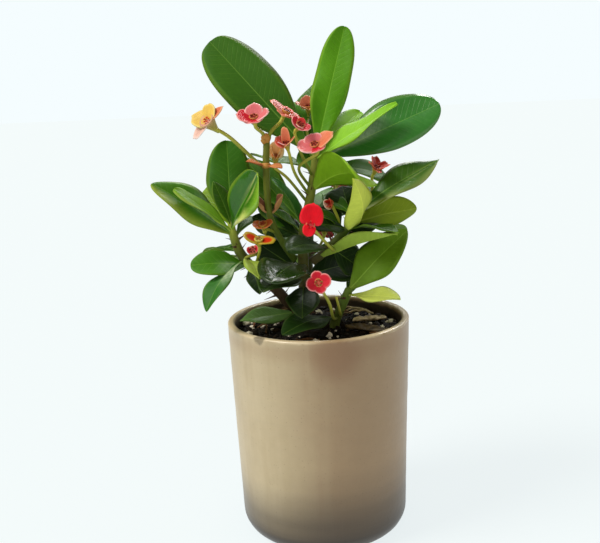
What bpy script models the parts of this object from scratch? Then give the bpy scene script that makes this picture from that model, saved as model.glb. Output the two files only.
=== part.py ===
"""A crown of thorns plant in its glazed pot.

Metres, +Z up. The origin is the centre of the pot's flat base, and the plant's front looks along -Y.
Places in the tables below are in millimetres, and MM turns them into metres.
"""

import math
import random
from dataclasses import dataclass

import bmesh
import bpy
from mathutils import Matrix, Vector, noise

MM = 0.001
GAP = 0.3  # clear space between two pieces that touch

# The pot
POT_HEIGHT = 120.0
POT_TOP_RADIUS = 50.0
POT_FOOT_RADIUS = 46.5
POT_CORNER = 10.0
POT_WALL = 4.0
POT_FLOOR = 7.0
POT_BEVEL = 1.4
POT_STEPS = 40

# The soil
SOIL_LEVEL = 112.0
SOIL_MOUND = 2.5
SOIL_LUMPS = 1.6
SOIL_STEPS = 30
SOIL_RINGS = (11.0, 22.0, 31.0, 39.0)
GRAINS = 12

# The plant
BLADE_THICKNESS = 0.8
BLADE_ROWS = 6
BLADE_COLUMNS = 2
BROAD_LEAF = 26.0  # wider leaves have twice the columns
PETIOLE_HALF_WIDTH = 1.1
FOOT_TAPER = 0.95
TIP_HALF_WIDTH = 0.5
SPINE_RADIUS = 0.75
GOLDEN_ANGLE = math.radians(137.5)
ROUTE_STEP = 9.0
STEM_RESOLUTION = 2
STALK_RESOLUTION = 1

# The blooms
CUP_HEIGHT = 4.0
CUP_FOOT_RADIUS = 0.9
CUP_RADIUS = 2.0
BRACT_ROOT = 1.6  # how far below the bloom's face the bracts are rooted
BRACT_LOBES = 0.3  # how far the bract's two root lobes reach back
BRACT_COLUMNS = 4
BRACT_ROWS = 2


@dataclass
class Leaf:
    """A blade that leaves its stem at a height, ends at its tip and turns its upper side to a direction."""

    height: float
    tip: tuple
    face: tuple
    width: float
    rise: float = 0.10
    droop: float = 0.10
    fold: float = 14.0
    twist: float = 0.0
    belly: float = 0.62
    blunt: float = 0.80
    wave: float = 0.0


@dataclass
class Stalk:
    """A flower stalk from a height on its stem, through its own points, to the foot of a bloom."""

    height: float
    way: tuple = ()
    bloom: str = ""
    radius: float = 0.8


@dataclass
class Shoot:
    """A stem, as a route of (x, y, z, radius) points, with its leaves, its flower stalks and its spines.

    The spines are given as (lowest height, highest height, count, length).
    """

    name: str
    route: tuple
    leaves: tuple = ()
    stalks: tuple = ()
    spines: tuple = ()
    branches: tuple = ()


@dataclass
class Bloom:
    """Bracts on a small cup: the middle of its face, the way that looks, and the way the first bract lies."""

    centre: tuple
    looks: tuple
    spread: tuple
    size: float = 9.0
    lift: float = 18.0
    second: float = 1.0
    bracts: int = 2
    breadth: float = 1.25


def smooth_route(points, step=ROUTE_STEP):
    """A list of points about one step apart on a smooth curve through (x, y, z, radius) points."""
    knots = [Vector(p) for p in points]
    if len(knots) == 2:
        knots.insert(1, (knots[0] + knots[1]) / 2)
    ends = [2 * knots[0] - knots[1], *knots, 2 * knots[-1] - knots[-2]]
    line = []
    for a, b, c, d in zip(ends, ends[1:], ends[2:], ends[3:]):
        count = max(1, round((c.xyz - b.xyz).length / step))
        for i in range(count):
            t = i / count
            line.append(
                0.5 * (2 * b + (c - a) * t + (2 * a - 5 * b + 4 * c - d) * t**2 + (3 * b - a - 3 * c + d) * t**3)
            )
    line.append(knots[-1])
    return line


def stem_at(route, height):
    """The point on a rising stem at a height, with its direction and its radius there."""
    line = smooth_route(route)
    for a, b in zip(line, line[1:]):
        if b.z >= height or b is line[-1]:
            point = a.lerp(b, (height - a.z) / (b.z - a.z))
            return point.xyz, (b.xyz - a.xyz).normalized(), point.w


def new_object(name, mesh):
    thing = bpy.data.objects.new(name, mesh)
    bpy.context.scene.collection.objects.link(thing)
    return thing


def evaluated_mesh(thing):
    """The object's mesh with its modifiers applied."""
    bpy.context.view_layer.update()
    return bpy.data.meshes.new_from_object(thing.evaluated_get(bpy.context.evaluated_depsgraph_get()))


def settled(thing, weld=False):
    """The same object as a plain mesh, with no modifiers left on it and its loose caps welded if asked."""
    mesh = evaluated_mesh(thing)
    name = thing.name
    if weld:
        shape = bmesh.new()
        shape.from_mesh(mesh)
        bmesh.ops.remove_doubles(shape, verts=shape.verts, dist=1e-6)
        shape.to_mesh(mesh)
        shape.free()
    bpy.data.objects.remove(thing)
    return new_object(name, mesh)


def united(name, pieces):
    """One object from pieces that sink into each other."""
    body, others = pieces[0], pieces[1:]
    body.name = name
    if others:
        group = bpy.data.collections.new(name + "_pieces")
        for piece in others:
            group.objects.link(piece)
        union = body.modifiers.new("union", "BOOLEAN")
        union.operation = "UNION"
        union.operand_type = "COLLECTION"
        union.collection = group
        union.solver = "MANIFOLD"
        joined = settled(body)
        for piece in others:
            bpy.data.objects.remove(piece)
        bpy.data.collections.remove(group)
        body = joined
    return body


def tube(name, route, resolution=2, step=ROUTE_STEP):
    """A tapering tube along a route of (x, y, z, radius) points."""
    line = smooth_route(route, step)
    data = bpy.data.curves.new(name, "CURVE")
    data.dimensions = "3D"
    data.bevel_depth = MM
    data.bevel_resolution = resolution
    data.use_fill_caps = True
    spline = data.splines.new("POLY")
    spline.points.add(len(line) - 1)
    for knot, point in zip(spline.points, line):
        knot.co = (*(point.xyz * MM), 1.0)
        knot.radius = point.w
    return settled(new_object(name, data), weld=True)


def outline(u, leaf):
    """Half of the blade's width at a share of its length: a narrow foot, a full belly, a rounded tip."""
    bulge = math.sin(math.pi * u ** (math.log(0.5) / math.log(leaf.belly)))
    edge = 0.5 * leaf.width * max(bulge, 0.0) ** (leaf.blunt if u > leaf.belly else FOOT_TAPER)
    floor = PETIOLE_HALF_WIDTH + (TIP_HALF_WIDTH - PETIOLE_HALF_WIDTH) * u
    return max(edge, floor)


def blade_point(leaf, foot, v, along):
    """A point on the blade: v runs from one edge to the other, along from the foot to the tip, both -1 to 1."""
    u = math.sin(math.pi / 4 * (along + 1))
    tip = Vector(leaf.tip)
    chord = tip - foot
    length = chord.length
    ahead = chord / length
    up = Vector(leaf.face)
    up = (up - up.dot(ahead) * ahead).normalized()
    a = foot + chord / 3 + up * leaf.rise * length
    b = foot + chord * 2 / 3 + up * leaf.droop * length
    w = 1 - u
    rib = foot * w**3 + a * 3 * u * w**2 + b * 3 * u**2 * w + tip * u**3
    tangent = ((a - foot) * w**2 + (b - a) * 2 * u * w + (tip - b) * u**2).normalized()
    side = tangent.cross(up).normalized()
    side.rotate(Matrix.Rotation(math.radians(leaf.twist) * (u - 0.3), 3, tangent))
    normal = side.cross(tangent)
    half = outline(u, leaf)
    fold = math.radians(leaf.fold)
    ripple = leaf.wave * v * abs(v) * math.sin(4 * math.pi * u)
    return rib + side * v * half * math.cos(fold) + normal * (abs(v) * half * math.sin(fold) + ripple)


def blade_sheet(name, point_at, columns, rows):
    """An open sheet of triangles, thickened both ways; point_at takes places from -1 to 1 across and along."""
    shape = bmesh.new()
    bmesh.ops.create_grid(shape, x_segments=columns, y_segments=rows, size=1.0)
    for vert in shape.verts:
        vert.co = point_at(vert.co.x, vert.co.y) * MM
    bmesh.ops.triangulate(shape, faces=shape.faces)
    mesh = bpy.data.meshes.new(name)
    shape.to_mesh(mesh)
    shape.free()
    sheet = new_object(name, mesh)
    skin = sheet.modifiers.new("thickness", "SOLIDIFY")
    skin.thickness = BLADE_THICKNESS * MM
    skin.offset = 0.0
    return settled(sheet)


def leaf_blade(name, leaf, route):
    """A leaf whose foot is sunk to the middle of its stem."""
    foot = stem_at(route, leaf.height)[0]
    columns = BLADE_COLUMNS if leaf.width < BROAD_LEAF else 2 * BLADE_COLUMNS
    return blade_sheet(name, lambda v, y: blade_point(leaf, foot, v, y), columns, BLADE_ROWS)


def spine(name, root, way, length):
    """A thin three-sided thorn whose root lies inside the stem."""
    shape = bmesh.new()
    bmesh.ops.create_cone(
        shape,
        cap_ends=True,
        segments=3,
        radius1=SPINE_RADIUS * MM,
        radius2=0.0,
        depth=length * MM,
        matrix=Matrix.Translation((0, 0, length * MM / 2)),
    )
    mesh = bpy.data.meshes.new(name)
    shape.to_mesh(mesh)
    shape.free()
    thorn = new_object(name, mesh)
    thorn.data.transform(Matrix.Translation(root * MM) @ way.to_track_quat("Z", "Y").to_matrix().to_4x4())
    return thorn


def spines_on(name, route, low, high, count, length, seed):
    """Spines round a stem, from one height to another, turned by the golden angle."""
    draw = random.Random(seed)
    made = []
    for i in range(count):
        point, ahead, radius = stem_at(route, low + (high - low) * (i + 0.5) / count)
        across = ahead.orthogonal().normalized()
        across.rotate(Matrix.Rotation(i * GOLDEN_ANGLE + draw.uniform(-0.3, 0.3), 3, ahead))
        way = (across + ahead * draw.uniform(0.0, 0.5)).normalized()
        size = length * draw.uniform(0.7, 1.1)
        made.append(spine(f"{name}_spine_{i}", point + across * (radius * 0.3), way, size + radius * 0.7))
    return made


def pot():
    """The glazed pot: a turned shell, outside first from the rim down to the base, then back up inside."""
    wall, bevel, corner = POT_WALL, POT_BEVEL, POT_CORNER
    slope = (POT_TOP_RADIUS - POT_FOOT_RADIUS) / POT_HEIGHT

    def outer(z):
        return POT_FOOT_RADIUS + slope * z

    profile = [(outer(POT_HEIGHT) - bevel, POT_HEIGHT)]
    for turn in (30, 60, 90):
        a = math.radians(turn)
        profile.append((outer(POT_HEIGHT) - bevel + bevel * math.sin(a), POT_HEIGHT - bevel + bevel * math.cos(a)))
    for turn in (0, 22.5, 45, 67.5, 90):
        a = math.radians(turn)
        profile.append((outer(corner) - corner + corner * math.cos(a), corner - corner * math.sin(a)))
    profile.append((0.0, 0.0))
    profile.append((0.0, POT_FLOOR))
    inner_corner = corner - wall
    for turn in (90, 45, 0):
        a = math.radians(turn)
        radius = outer(POT_FLOOR + inner_corner) - wall
        profile.append(
            (radius - inner_corner + inner_corner * math.cos(a), POT_FLOOR + inner_corner - inner_corner * math.sin(a))
        )
    for turn in (90, 45, 0):
        a = math.radians(turn)
        profile.append(
            (outer(POT_HEIGHT) - wall + bevel - bevel * math.sin(a), POT_HEIGHT - bevel + bevel * math.cos(a))
        )
    return settled(turned("pot", profile, POT_STEPS))


def turned(name, profile, steps):
    """A profile of (radius, height) points turned about the Z axis, closed unless it starts on the axis."""
    mesh = bpy.data.meshes.new(name)
    points = [(r * MM, 0.0, z * MM) for r, z in profile]
    ring = profile if profile[0][0] == 0 else [*profile, profile[0]]
    edges = [(i, (i + 1) % len(points)) for i, (a, b) in enumerate(zip(ring, ring[1:])) if a[0] or b[0]]
    mesh.from_pydata(points, edges, [])
    thing = new_object(name, mesh)
    screw = thing.modifiers.new("turn", "SCREW")
    screw.steps = steps
    screw.render_steps = steps
    screw.use_merge_vertices = True
    screw.merge_threshold = 1e-5
    return thing


def inner_radius(z):
    """The pot's inner radius at a height above its rounded inner corner."""
    return POT_FOOT_RADIUS + (POT_TOP_RADIUS - POT_FOOT_RADIUS) * z / POT_HEIGHT - POT_WALL


def soil_height(x, y):
    """The lumpy top of the soil, a little higher round the stems."""
    away = math.hypot(x, y) / inner_radius(SOIL_LEVEL)
    lumps = noise.noise(Vector((x, y, 0.0)) * 0.13) + 0.5 * noise.noise(Vector((x, y, 9.0)) * 0.31)
    return SOIL_LEVEL + SOIL_MOUND * (1 - away**2) + SOIL_LUMPS * lumps


def soil(stem_feet, cutters):
    """The potting soil, with a lumpy top, grains of perlite and a plain hole for each stem."""
    edge = inner_radius(SOIL_LEVEL) - GAP
    low = POT_FLOOR + POT_CORNER - POT_WALL
    foot = inner_radius(low) - GAP
    bottom = POT_FLOOR + GAP
    profile = [(0.0, SOIL_LEVEL)]
    profile += [(ring, SOIL_LEVEL) for ring in SOIL_RINGS]
    profile += [(edge, SOIL_LEVEL), (foot, low), (foot - (POT_CORNER - POT_WALL), bottom), (0.0, bottom)]
    body = settled(turned("soil", profile, SOIL_STEPS))
    for vert in body.data.vertices:
        if vert.co.z > (SOIL_LEVEL - 1) * MM:
            vert.co.z = soil_height(vert.co.x / MM, vert.co.y / MM) * MM
    draw = random.Random(5)
    pieces = [body]
    for i in range(GRAINS):
        away, turn = 42.0 * math.sqrt(draw.uniform(0.12, 0.9)), draw.uniform(0, 2 * math.pi)
        x, y = away * math.cos(turn), away * math.sin(turn)
        size = draw.uniform(1.4, 2.4)
        if any(math.hypot(x - at[0], y - at[1]) < 0.5 * long + 3 for at, _, long, _ in DRY_LEAVES.values()):
            continue
        shape = bmesh.new()
        bmesh.ops.create_icosphere(shape, subdivisions=1, radius=size * MM)
        bmesh.ops.scale(shape, verts=shape.verts, vec=(1.2, 0.9, 0.8))
        bmesh.ops.rotate(shape, verts=shape.verts, cent=(0, 0, 0), matrix=Matrix.Rotation(turn, 3, "Z"))
        bmesh.ops.translate(shape, verts=shape.verts, vec=Vector((x, y, soil_height(x, y) + 0.3 * size)) * MM)
        mesh = bpy.data.meshes.new(f"grain_{i}")
        shape.to_mesh(mesh)
        shape.free()
        pieces.append(new_object(f"grain_{i}", mesh))
    body = united("soil", pieces)
    for i, (x, y, bottom_z, radius) in enumerate(stem_feet):
        top = SOIL_LEVEL + 12
        bpy.ops.mesh.primitive_cylinder_add(
            vertices=16,
            radius=(radius + 2 * GAP) * MM,
            depth=(top - bottom_z + GAP) * MM,
            location=Vector((x, y, (top + bottom_z - GAP) / 2)) * MM,
        )
        cutter = bpy.context.object
        cutter.name = f"stem_hole_{i}"
        cutter.display_type = "WIRE"
        cutter.hide_render = True
        for collection in list(cutter.users_collection):
            collection.objects.unlink(cutter)
        cutters.objects.link(cutter)
        hole = body.modifiers.new(cutter.name, "BOOLEAN")
        hole.operation = "DIFFERENCE"
        hole.object = cutter
    return body


def bract_point(bloom, spread, size, x, y):
    """A point on a bract: a disc wider than long, rising from the cup, its rim curling up a little."""
    axis = Vector(bloom.looks).normalized()
    side = axis.cross(spread)
    rise = math.radians(bloom.lift)
    across = x * math.sqrt(1 - y * y / 2)
    ahead = 0.5 * (1 + y * math.sqrt(1 - x * x / 2))
    ahead -= BRACT_LOBES * across**2 * (1 - ahead)
    out = spread * math.cos(rise) + axis * math.sin(rise)
    curl = axis * size * 0.10 * (across**2 + ahead**2)
    root = Vector(bloom.centre) - axis * BRACT_ROOT
    return root + out * ahead * size + side * across * bloom.breadth * size / 2 + curl


def bloom_piece(name, bloom):
    """A bloom: a cup that widens upward, with its bracts round it."""
    axis = Vector(bloom.looks).normalized()
    spread = Vector(bloom.spread)
    spread = (spread - spread.dot(axis) * axis).normalized()
    shape = bmesh.new()
    bmesh.ops.create_cone(
        shape,
        cap_ends=True,
        segments=7,
        radius1=CUP_FOOT_RADIUS * MM,
        radius2=CUP_RADIUS * MM,
        depth=CUP_HEIGHT * MM,
        matrix=Matrix.Translation((0, 0, CUP_HEIGHT * MM / 2)),
    )
    mesh = bpy.data.meshes.new(name)
    shape.to_mesh(mesh)
    shape.free()
    foot = Vector(bloom.centre) - axis * CUP_HEIGHT
    mesh.transform(Matrix.Translation(foot * MM) @ axis.to_track_quat("Z", "Y").to_matrix().to_4x4())
    pieces = [new_object(name, mesh)]
    for i in range(bloom.bracts):
        turned_spread = spread.copy()
        turned_spread.rotate(Matrix.Rotation(2 * math.pi * i / bloom.bracts, 3, axis))
        size = bloom.size * (bloom.second if i % 2 else 1.0)
        pieces.append(
            blade_sheet(
                f"{name}_bract_{i}",
                lambda x, y, way=turned_spread, long=size: bract_point(bloom, way, long, x, y),
                BRACT_COLUMNS,
                BRACT_ROWS,
            )
        )
    return united(name, pieces)


def stalk_route(stem, stalk):
    """The points of a flower stalk, whose end stops just short of its bloom's cup."""
    foot = stem_at(stem, stalk.height)[0]
    points = [(*foot, stalk.radius), *((*p, stalk.radius) for p in stalk.way)]
    if stalk.bloom:
        bloom = BLOOMS[stalk.bloom]
        axis = Vector(bloom.looks).normalized()
        end = Vector(bloom.centre) - axis * (CUP_HEIGHT + GAP)
        points += [(*(end - axis * 3), stalk.radius), (*end, stalk.radius)]
    return points


def shoot_piece(shoot):
    """One leafy or woody stem: its tube, side branches, leaves, flower stalks and spines in one body."""
    name = shoot.name
    pieces = [tube(name, shoot.route, STEM_RESOLUTION)]
    pieces += [tube(f"{name}_branch_{i}", way, STEM_RESOLUTION) for i, way in enumerate(shoot.branches)]
    pieces += [leaf_blade(f"{name}_leaf_{i}", leaf, shoot.route) for i, leaf in enumerate(shoot.leaves)]
    for i, stalk in enumerate(shoot.stalks):
        pieces.append(tube(f"{name}_stalk_{i}", stalk_route(shoot.route, stalk), STALK_RESOLUTION))
    routes = (shoot.route, *shoot.branches)
    for i, (which, low, high, count, length) in enumerate(shoot.spines):
        pieces += spines_on(f"{name}_{i}", routes[which], low, high, count, length, seed=len(name) + i)
    return united(name, pieces)


def dry_leaf(name, middle, turn, length, width):
    """A curled dead leaf that lies on the soil."""
    ahead = Vector((math.cos(turn), math.sin(turn), 0))
    side = Vector((-math.sin(turn), math.cos(turn), 0))

    def point_at(x, y):
        across = x * math.sqrt(1 - y * y / 2)
        forward = y * math.sqrt(1 - x * x / 2)
        flat = Vector((*middle, 0)) + ahead * forward * length / 2 + side * across * width / 2
        low = soil_top_near(flat.x, flat.y) + BLADE_THICKNESS
        return flat + Vector((0, 0, low + 0.2 * width * across**2 + 0.03 * length * forward**2))

    return blade_sheet(name, point_at, 2, 6)


def soil_top_near(x, y):
    """The highest soil within a few millimetres, so that what lies there stays clear of it."""
    return max(soil_height(x + i * 3, y + j * 3) for i in (-1, 0, 1) for j in (-1, 0, 1))


def finish(thing, colour, roughness, metallic, group):
    """Gives a piece its material and its place in the plant's collection."""
    material = bpy.data.materials.new(thing.name)
    material.use_nodes = True
    shader = material.node_tree.nodes["Principled BSDF"]
    shader.inputs["Base Color"].default_value = (*colour, 1.0)
    shader.inputs["Roughness"].default_value = roughness
    shader.inputs["Metallic"].default_value = metallic
    thing.data.materials.clear()
    thing.data.materials.append(material)
    for collection in list(thing.users_collection):
        collection.objects.unlink(thing)
    group.objects.link(thing)


# Where each bloom is. All but the last three face the front.
BLOOMS = {
    "bloom_left_pink": Bloom((-29, -12, 230), (-0.10, -0.55, 0.83), (0.97, -0.10, 0.10), 9.0, 20, 0.75, 4, 1.1),
    "bloom_fork_salmon": Bloom((-12, -6, 232), (0.50, -0.25, 0.83), (0.83, -0.10, -0.50), 8.5, 8),
    "bloom_top_red": Bloom((-5, -15, 225), (0.45, -0.60, 0.65), (0.80, 0.00, -0.50), 5.8, 20),
    "bloom_top_salmon": Bloom((-1, 20, 234), (0.00, -0.30, 0.95), (1.00, 0.00, 0.20), 7.5, 20),
    "bloom_outer_yellow": Bloom((-54, -7, 229), (-0.50, -0.60, 0.62), (0.10, 0.40, 0.90), 8.0, 24, 1.0, 4, 0.85),
    "bloom_inner_red": Bloom((-13, -14, 216), (-0.20, -0.50, 0.85), (-0.80, 0.35, 0.30), 6.5, 36, breadth=1.4),
    "bloom_broad_salmon": Bloom((1.5, -17, 215), (-0.20, -0.60, 0.75), (0.95, 0.00, 0.30), 9.5, 14),
    "bloom_front_crimson": Bloom((-2, -38, 176.5), (0.00, -0.97, 0.20), (0.18, 0.00, 0.98), 10.6, 6, 0.5, breadth=1.12),
    "bloom_low_red": Bloom((1, -36, 147), (0.05, -0.93, 0.35), (0.97, 0.00, 0.20), 6.6, 12, breadth=1.7),
    "bloom_right_dark": Bloom((34, -6, 201), (0.35, -0.45, 0.80), (0.80, -0.30, -0.30), 6.0, 35, breadth=1.4),
    "bloom_middle_dark": Bloom((8, -10, 183), (-0.30, -0.85, 0.35), (0.90, 0.00, 0.20), 4.5, 30),
    "bloom_under_fork": Bloom((-27, -15, 175), (-0.10, -0.50, 0.85), (1.00, 0.00, 0.00), 5.5, 15),
    "bloom_twin_orange": Bloom((-29, -21, 168), (0.00, -0.38, 0.92), (0.97, 0.00, -0.20), 8.5, 10),
    "bloom_small_pink": Bloom((-33, -14, 161), (-0.10, -0.80, 0.50), (0.90, 0.00, 0.20), 3.8, 35),
    "bloom_dried": Bloom((-19, -2, 209), (0.10, -0.30, 0.95), (1.00, 0.00, 0.00), 7.0, 64),
    "bloom_back_right": Bloom((15, 39, 190), (0.35, 0.75, 0.55), (0.90, -0.40, 0.00), 8.5, 15),
    "bloom_back_left": Bloom((-42, 27, 195), (0.10, 0.75, 0.60), (0.90, 0.40, 0.00), 8.5, 15),
    "bloom_back_low": Bloom((6, 46, 160), (0.10, 0.90, 0.40), (1.00, 0.00, 0.00), 7.5, 15),
}

MAIN_STEM = Shoot(
    "stem_woody",
    ((-6, 3, 88, 3.4), (-6, 3, 104, 3.4), (-6, 3, 115, 3.3), (-7, 1, 123, 3.2), (-7, 1, 130, 3.1)),
    branches=(
        ((-6, 3, 119, 2.8), (-14, 0, 126, 2.8), (-22, -2, 136, 2.9), (-30, -3, 145, 2.9)),
        ((-6, 3, 116, 2.6), (-5, 12, 126, 2.6), (-4, 18, 136, 2.4)),
    ),
    leaves=(Leaf(122, (-42, -12, 122), (0.00, -0.50, 0.85), 13, 0.04, 0.04, 10),),
    spines=((0, 117, 125, 4, 8), (1, 123, 143, 8, 8), (2, 122, 134, 4, 8)),
)

CENTRE_SHOOT = Shoot(
    "shoot_centre",
    (
        (-7, 1, 130.4, 3.0),
        (-7, 1, 138, 3.0),
        (-7, 1, 147, 3.0),
        (-6, 0, 167, 2.8),
        (-2, 0, 184, 2.5),
        (1, 4, 200, 2.2),
        (2, 6, 208, 2.0),
    ),
    leaves=(
        Leaf(206, (-53, 22, 270), (0.20, -1.00, 0.10), 32, 0.04, 0.02, 8, belly=0.60, blunt=0.32),
        Leaf(206, (20, 14, 274), (-0.15, -1.00, 0.10), 21, 0.04, 0.00, 10, belly=0.52, blunt=0.5, wave=1.3),
        Leaf(204, (68, 2, 232), (-0.20, -0.88, 0.40), 29, 0.04, -0.02, 8, belly=0.62, blunt=0.45),
        Leaf(205, (45, -6, 233), (-0.40, -0.40, 0.85), 20, 0.02, 0.00, 14, belly=0.48, blunt=0.9),
        Leaf(207, (28, 30, 229), (-0.20, -0.90, 0.40), 17, 0.06, 0.06, 10, blunt=0.45),
        Leaf(189, (26, -29, 194), (-0.25, 0.85, 0.45), 32, 0.30, 0.34, 10, belly=0.55, blunt=0.5),
        Leaf(200, (44, 20, 192), (0.00, -0.60, 0.80), 15, 0.16, 0.08, 8),
        Leaf(204, (-14, 36, 239), (0.10, -0.90, 0.30), 17, 0.06, 0.02, 10),
        Leaf(170, (-40, 23, 208), (0.30, -0.85, 0.40), 18, 0.04, 0.02, 20, belly=0.6),
        Leaf(168, (-22, 3, 197), (0.60, -0.30, 0.50), 13, 0.10, 0.05, 26),
        Leaf(166, (-26, 2, 180), (0.50, -0.20, 0.80), 11, 0.08, 0.06, 26),
        Leaf(164, (-20, 12, 173), (0.10, -0.60, 0.80), 12, 0.10, 0.10, 12),
        Leaf(147, (-22, -45, 150), (0.00, -0.60, 0.80), 27, 0.16, 0.12, 8, belly=0.66, blunt=0.5),
        Leaf(140, (-27, -36, 143), (-0.10, -0.40, 0.90), 21, 0.12, 0.10, 10, blunt=0.6),
        Leaf(136, (-8, -37, 129), (0.00, -0.50, 0.86), 18, 0.16, 0.14, 8, blunt=0.6),
        Leaf(141, (26, 14, 146), (0.00, -0.60, 0.80), 25, 0.10, 0.08, 8),
        Leaf(206, (6, 46, 250), (0.00, 0.40, 0.60), 24, 0.10, 0.00, 10),
        Leaf(202, (40, 44, 216), (0.20, 0.30, 0.90), 24, 0.16, 0.12, 10),
        Leaf(200, (-34, 40, 214), (-0.20, 0.30, 0.90), 22, 0.16, 0.12, 10),
        Leaf(164, (-34, 9, 175), (0.00, -0.80, 0.60), 17, 0.04, 0.02, 10),
        Leaf(144, (-33, 11, 161), (0.00, -0.90, 0.40), 19, -0.02, -0.02, 10),
        Leaf(198, (-6, 14, 210), (-0.10, -0.90, 0.30), 10, 0.04, 0.00, 10, blunt=0.6),
        Leaf(162, (-31, 16, 186), (0.10, -0.80, 0.50), 15, 0.04, 0.02, 12),
    ),
    stalks=(
        Stalk(190, ((-7, -5, 202),), "bloom_broad_salmon"),
        Stalk(186, ((-9, -7, 199),), "bloom_inner_red"),
        Stalk(196, ((-5, -4, 208),), "bloom_top_red"),
        Stalk(205, ((-2, 11, 219),), "bloom_top_salmon"),
        Stalk(182, ((-13, 0, 196),), "bloom_dried"),
        Stalk(195, ((11, 20, 195),), "bloom_back_right"),
    ),
    spines=((0, 146, 200, 6, 7),),
)

LEFT_SHOOT = Shoot(
    "shoot_left",
    ((-30.3, -3, 145.5, 2.8), (-36, -4, 151, 2.8), (-41, -5, 159, 2.6), (-44, -3, 168, 2.3), (-45, -1, 174, 1.8)),
    leaves=(
        Leaf(167, (-83, -17, 198), (0.35, -0.75, 0.60), 20, 0.02, 0.06, 14, belly=0.55, blunt=0.6),
        Leaf(169, (-71, -21, 195), (0.30, -0.45, 0.85), 14, 0.04, 0.06, 12, blunt=0.7),
        Leaf(170, (-46, 12, 217), (0.05, -1.00, 0.10), 25, 0.06, 0.00, 8, belly=0.58, blunt=0.5),
        Leaf(170, (-29, -25, 202), (-0.20, -0.85, 0.45), 24, 0.10, -0.04, 20, belly=0.62, blunt=0.38),
        Leaf(172, (-52, -8, 197), (0.10, -0.60, 0.80), 11, 0.04, 0.04, 12),
        Leaf(171, (-59, 19, 192), (0.10, -0.80, 0.50), 16, 0.08, 0.04, 12, blunt=0.6),
        Leaf(150, (-66, -16, 154), (-0.10, -0.70, 0.70), 18, 0.10, 0.08, 8, blunt=0.45),
        Leaf(154, (-57, -32, 133), (-0.50, -0.60, 0.55), 14, 0.16, 0.12, 10, blunt=0.55),
        Leaf(154, (-29, -35, 150), (0.20, 0.10, 1.00), 12, 0.10, 0.10, 12),
        Leaf(151, (-30, -19, 138), (0.30, -0.50, 0.80), 12, 0.10, 0.10, 10),
        Leaf(168, (-54, 44, 186), (-0.10, 0.30, 0.95), 22, 0.18, 0.14, 10),
        Leaf(166, (-26, 40, 168), (0.20, 0.40, 0.90), 18, 0.16, 0.14, 10),
        Leaf(158, (-70, 26, 160), (-0.30, 0.30, 0.90), 19, 0.16, 0.14, 10),
        Leaf(152, (-50, 34, 142), (-0.10, 0.40, 0.90), 17, 0.18, 0.14, 10),
    ),
    stalks=(
        Stalk(149, ((-31, -12, 155),), "bloom_twin_orange"),
        Stalk(154, ((-37, -9, 156),), "bloom_small_pink"),
        Stalk(171, ((-44, 10, 179),), "bloom_back_left"),
    ),
    spines=((0, 147, 166, 6, 7),),
)

RIGHT_SHOOT = Shoot(
    "shoot_right",
    ((-1.9, 0.2, 150.6, 2.3), (4, -1, 155, 2.3), (13, -4, 164, 2.2), (19, -7, 171, 2.0), (21, -7, 177, 1.7)),
    leaves=(
        Leaf(170, (19, -45, 199), (-0.70, 0.70, 0.15), 22, -0.24, -0.16, 16, belly=0.5, blunt=0.8),
        Leaf(175, (67, -1, 203), (0.10, -0.60, 0.80), 18, 0.10, 0.06, 10, belly=0.58),
        Leaf(172, (54, -9, 179), (-0.15, 0.80, 0.55), 20, 0.04, 0.04, 8, belly=0.60, blunt=0.42),
        Leaf(169, (42, -32, 170), (0.00, 0.10, 1.00), 14, 0.08, 0.08, 12),
        Leaf(153, (42, -26, 169), (-0.35, 0.45, 0.80), 19, 0.00, 0.02, 24, belly=0.50),
        Leaf(157, (-14, -32, 163), (-0.10, -0.65, 0.75), 20, 0.14, 0.12, 8, blunt=0.6),
        Leaf(176, (5, 9, 186), (0.20, -0.60, 0.70), 11, 0.08, 0.04, 14),
        Leaf(168, (-2, -14, 181), (0.40, -0.40, 0.80), 11, 0.08, 0.04, 20),
        Leaf(174, (34, 34, 186), (0.20, 0.30, 0.90), 20, 0.18, 0.14, 10),
        Leaf(166, (52, 22, 160), (0.20, 0.20, 0.95), 19, 0.18, 0.16, 10),
        Leaf(162, (20, 38, 158), (0.00, 0.40, 0.90), 18, 0.18, 0.16, 10),
        Leaf(168, (3, -21, 174), (0.20, -0.60, 0.70), 12, 0.10, 0.06, 12),
        Leaf(165, (34, 6, 174), (-0.10, -0.80, 0.55), 17, 0.04, 0.04, 10),
        Leaf(159, (24, 5, 145), (0.10, -0.75, 0.60), 20, 0.00, 0.00, 10),
        Leaf(173, (16, 12, 190), (0.00, -0.90, 0.30), 22, 0.06, 0.04, 10),
        Leaf(166, (2, 8, 178), (0.00, -0.90, 0.30), 20, 0.06, 0.04, 10),
    ),
    stalks=(
        Stalk(160, ((9, -18, 160),), "bloom_front_crimson"),
        Stalk(175, ((31, 2, 186),), "bloom_right_dark"),
        Stalk(164, ((13, -6, 173),), "bloom_middle_dark"),
    ),
    spines=((0, 156, 176, 6, 7),),
)

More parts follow.
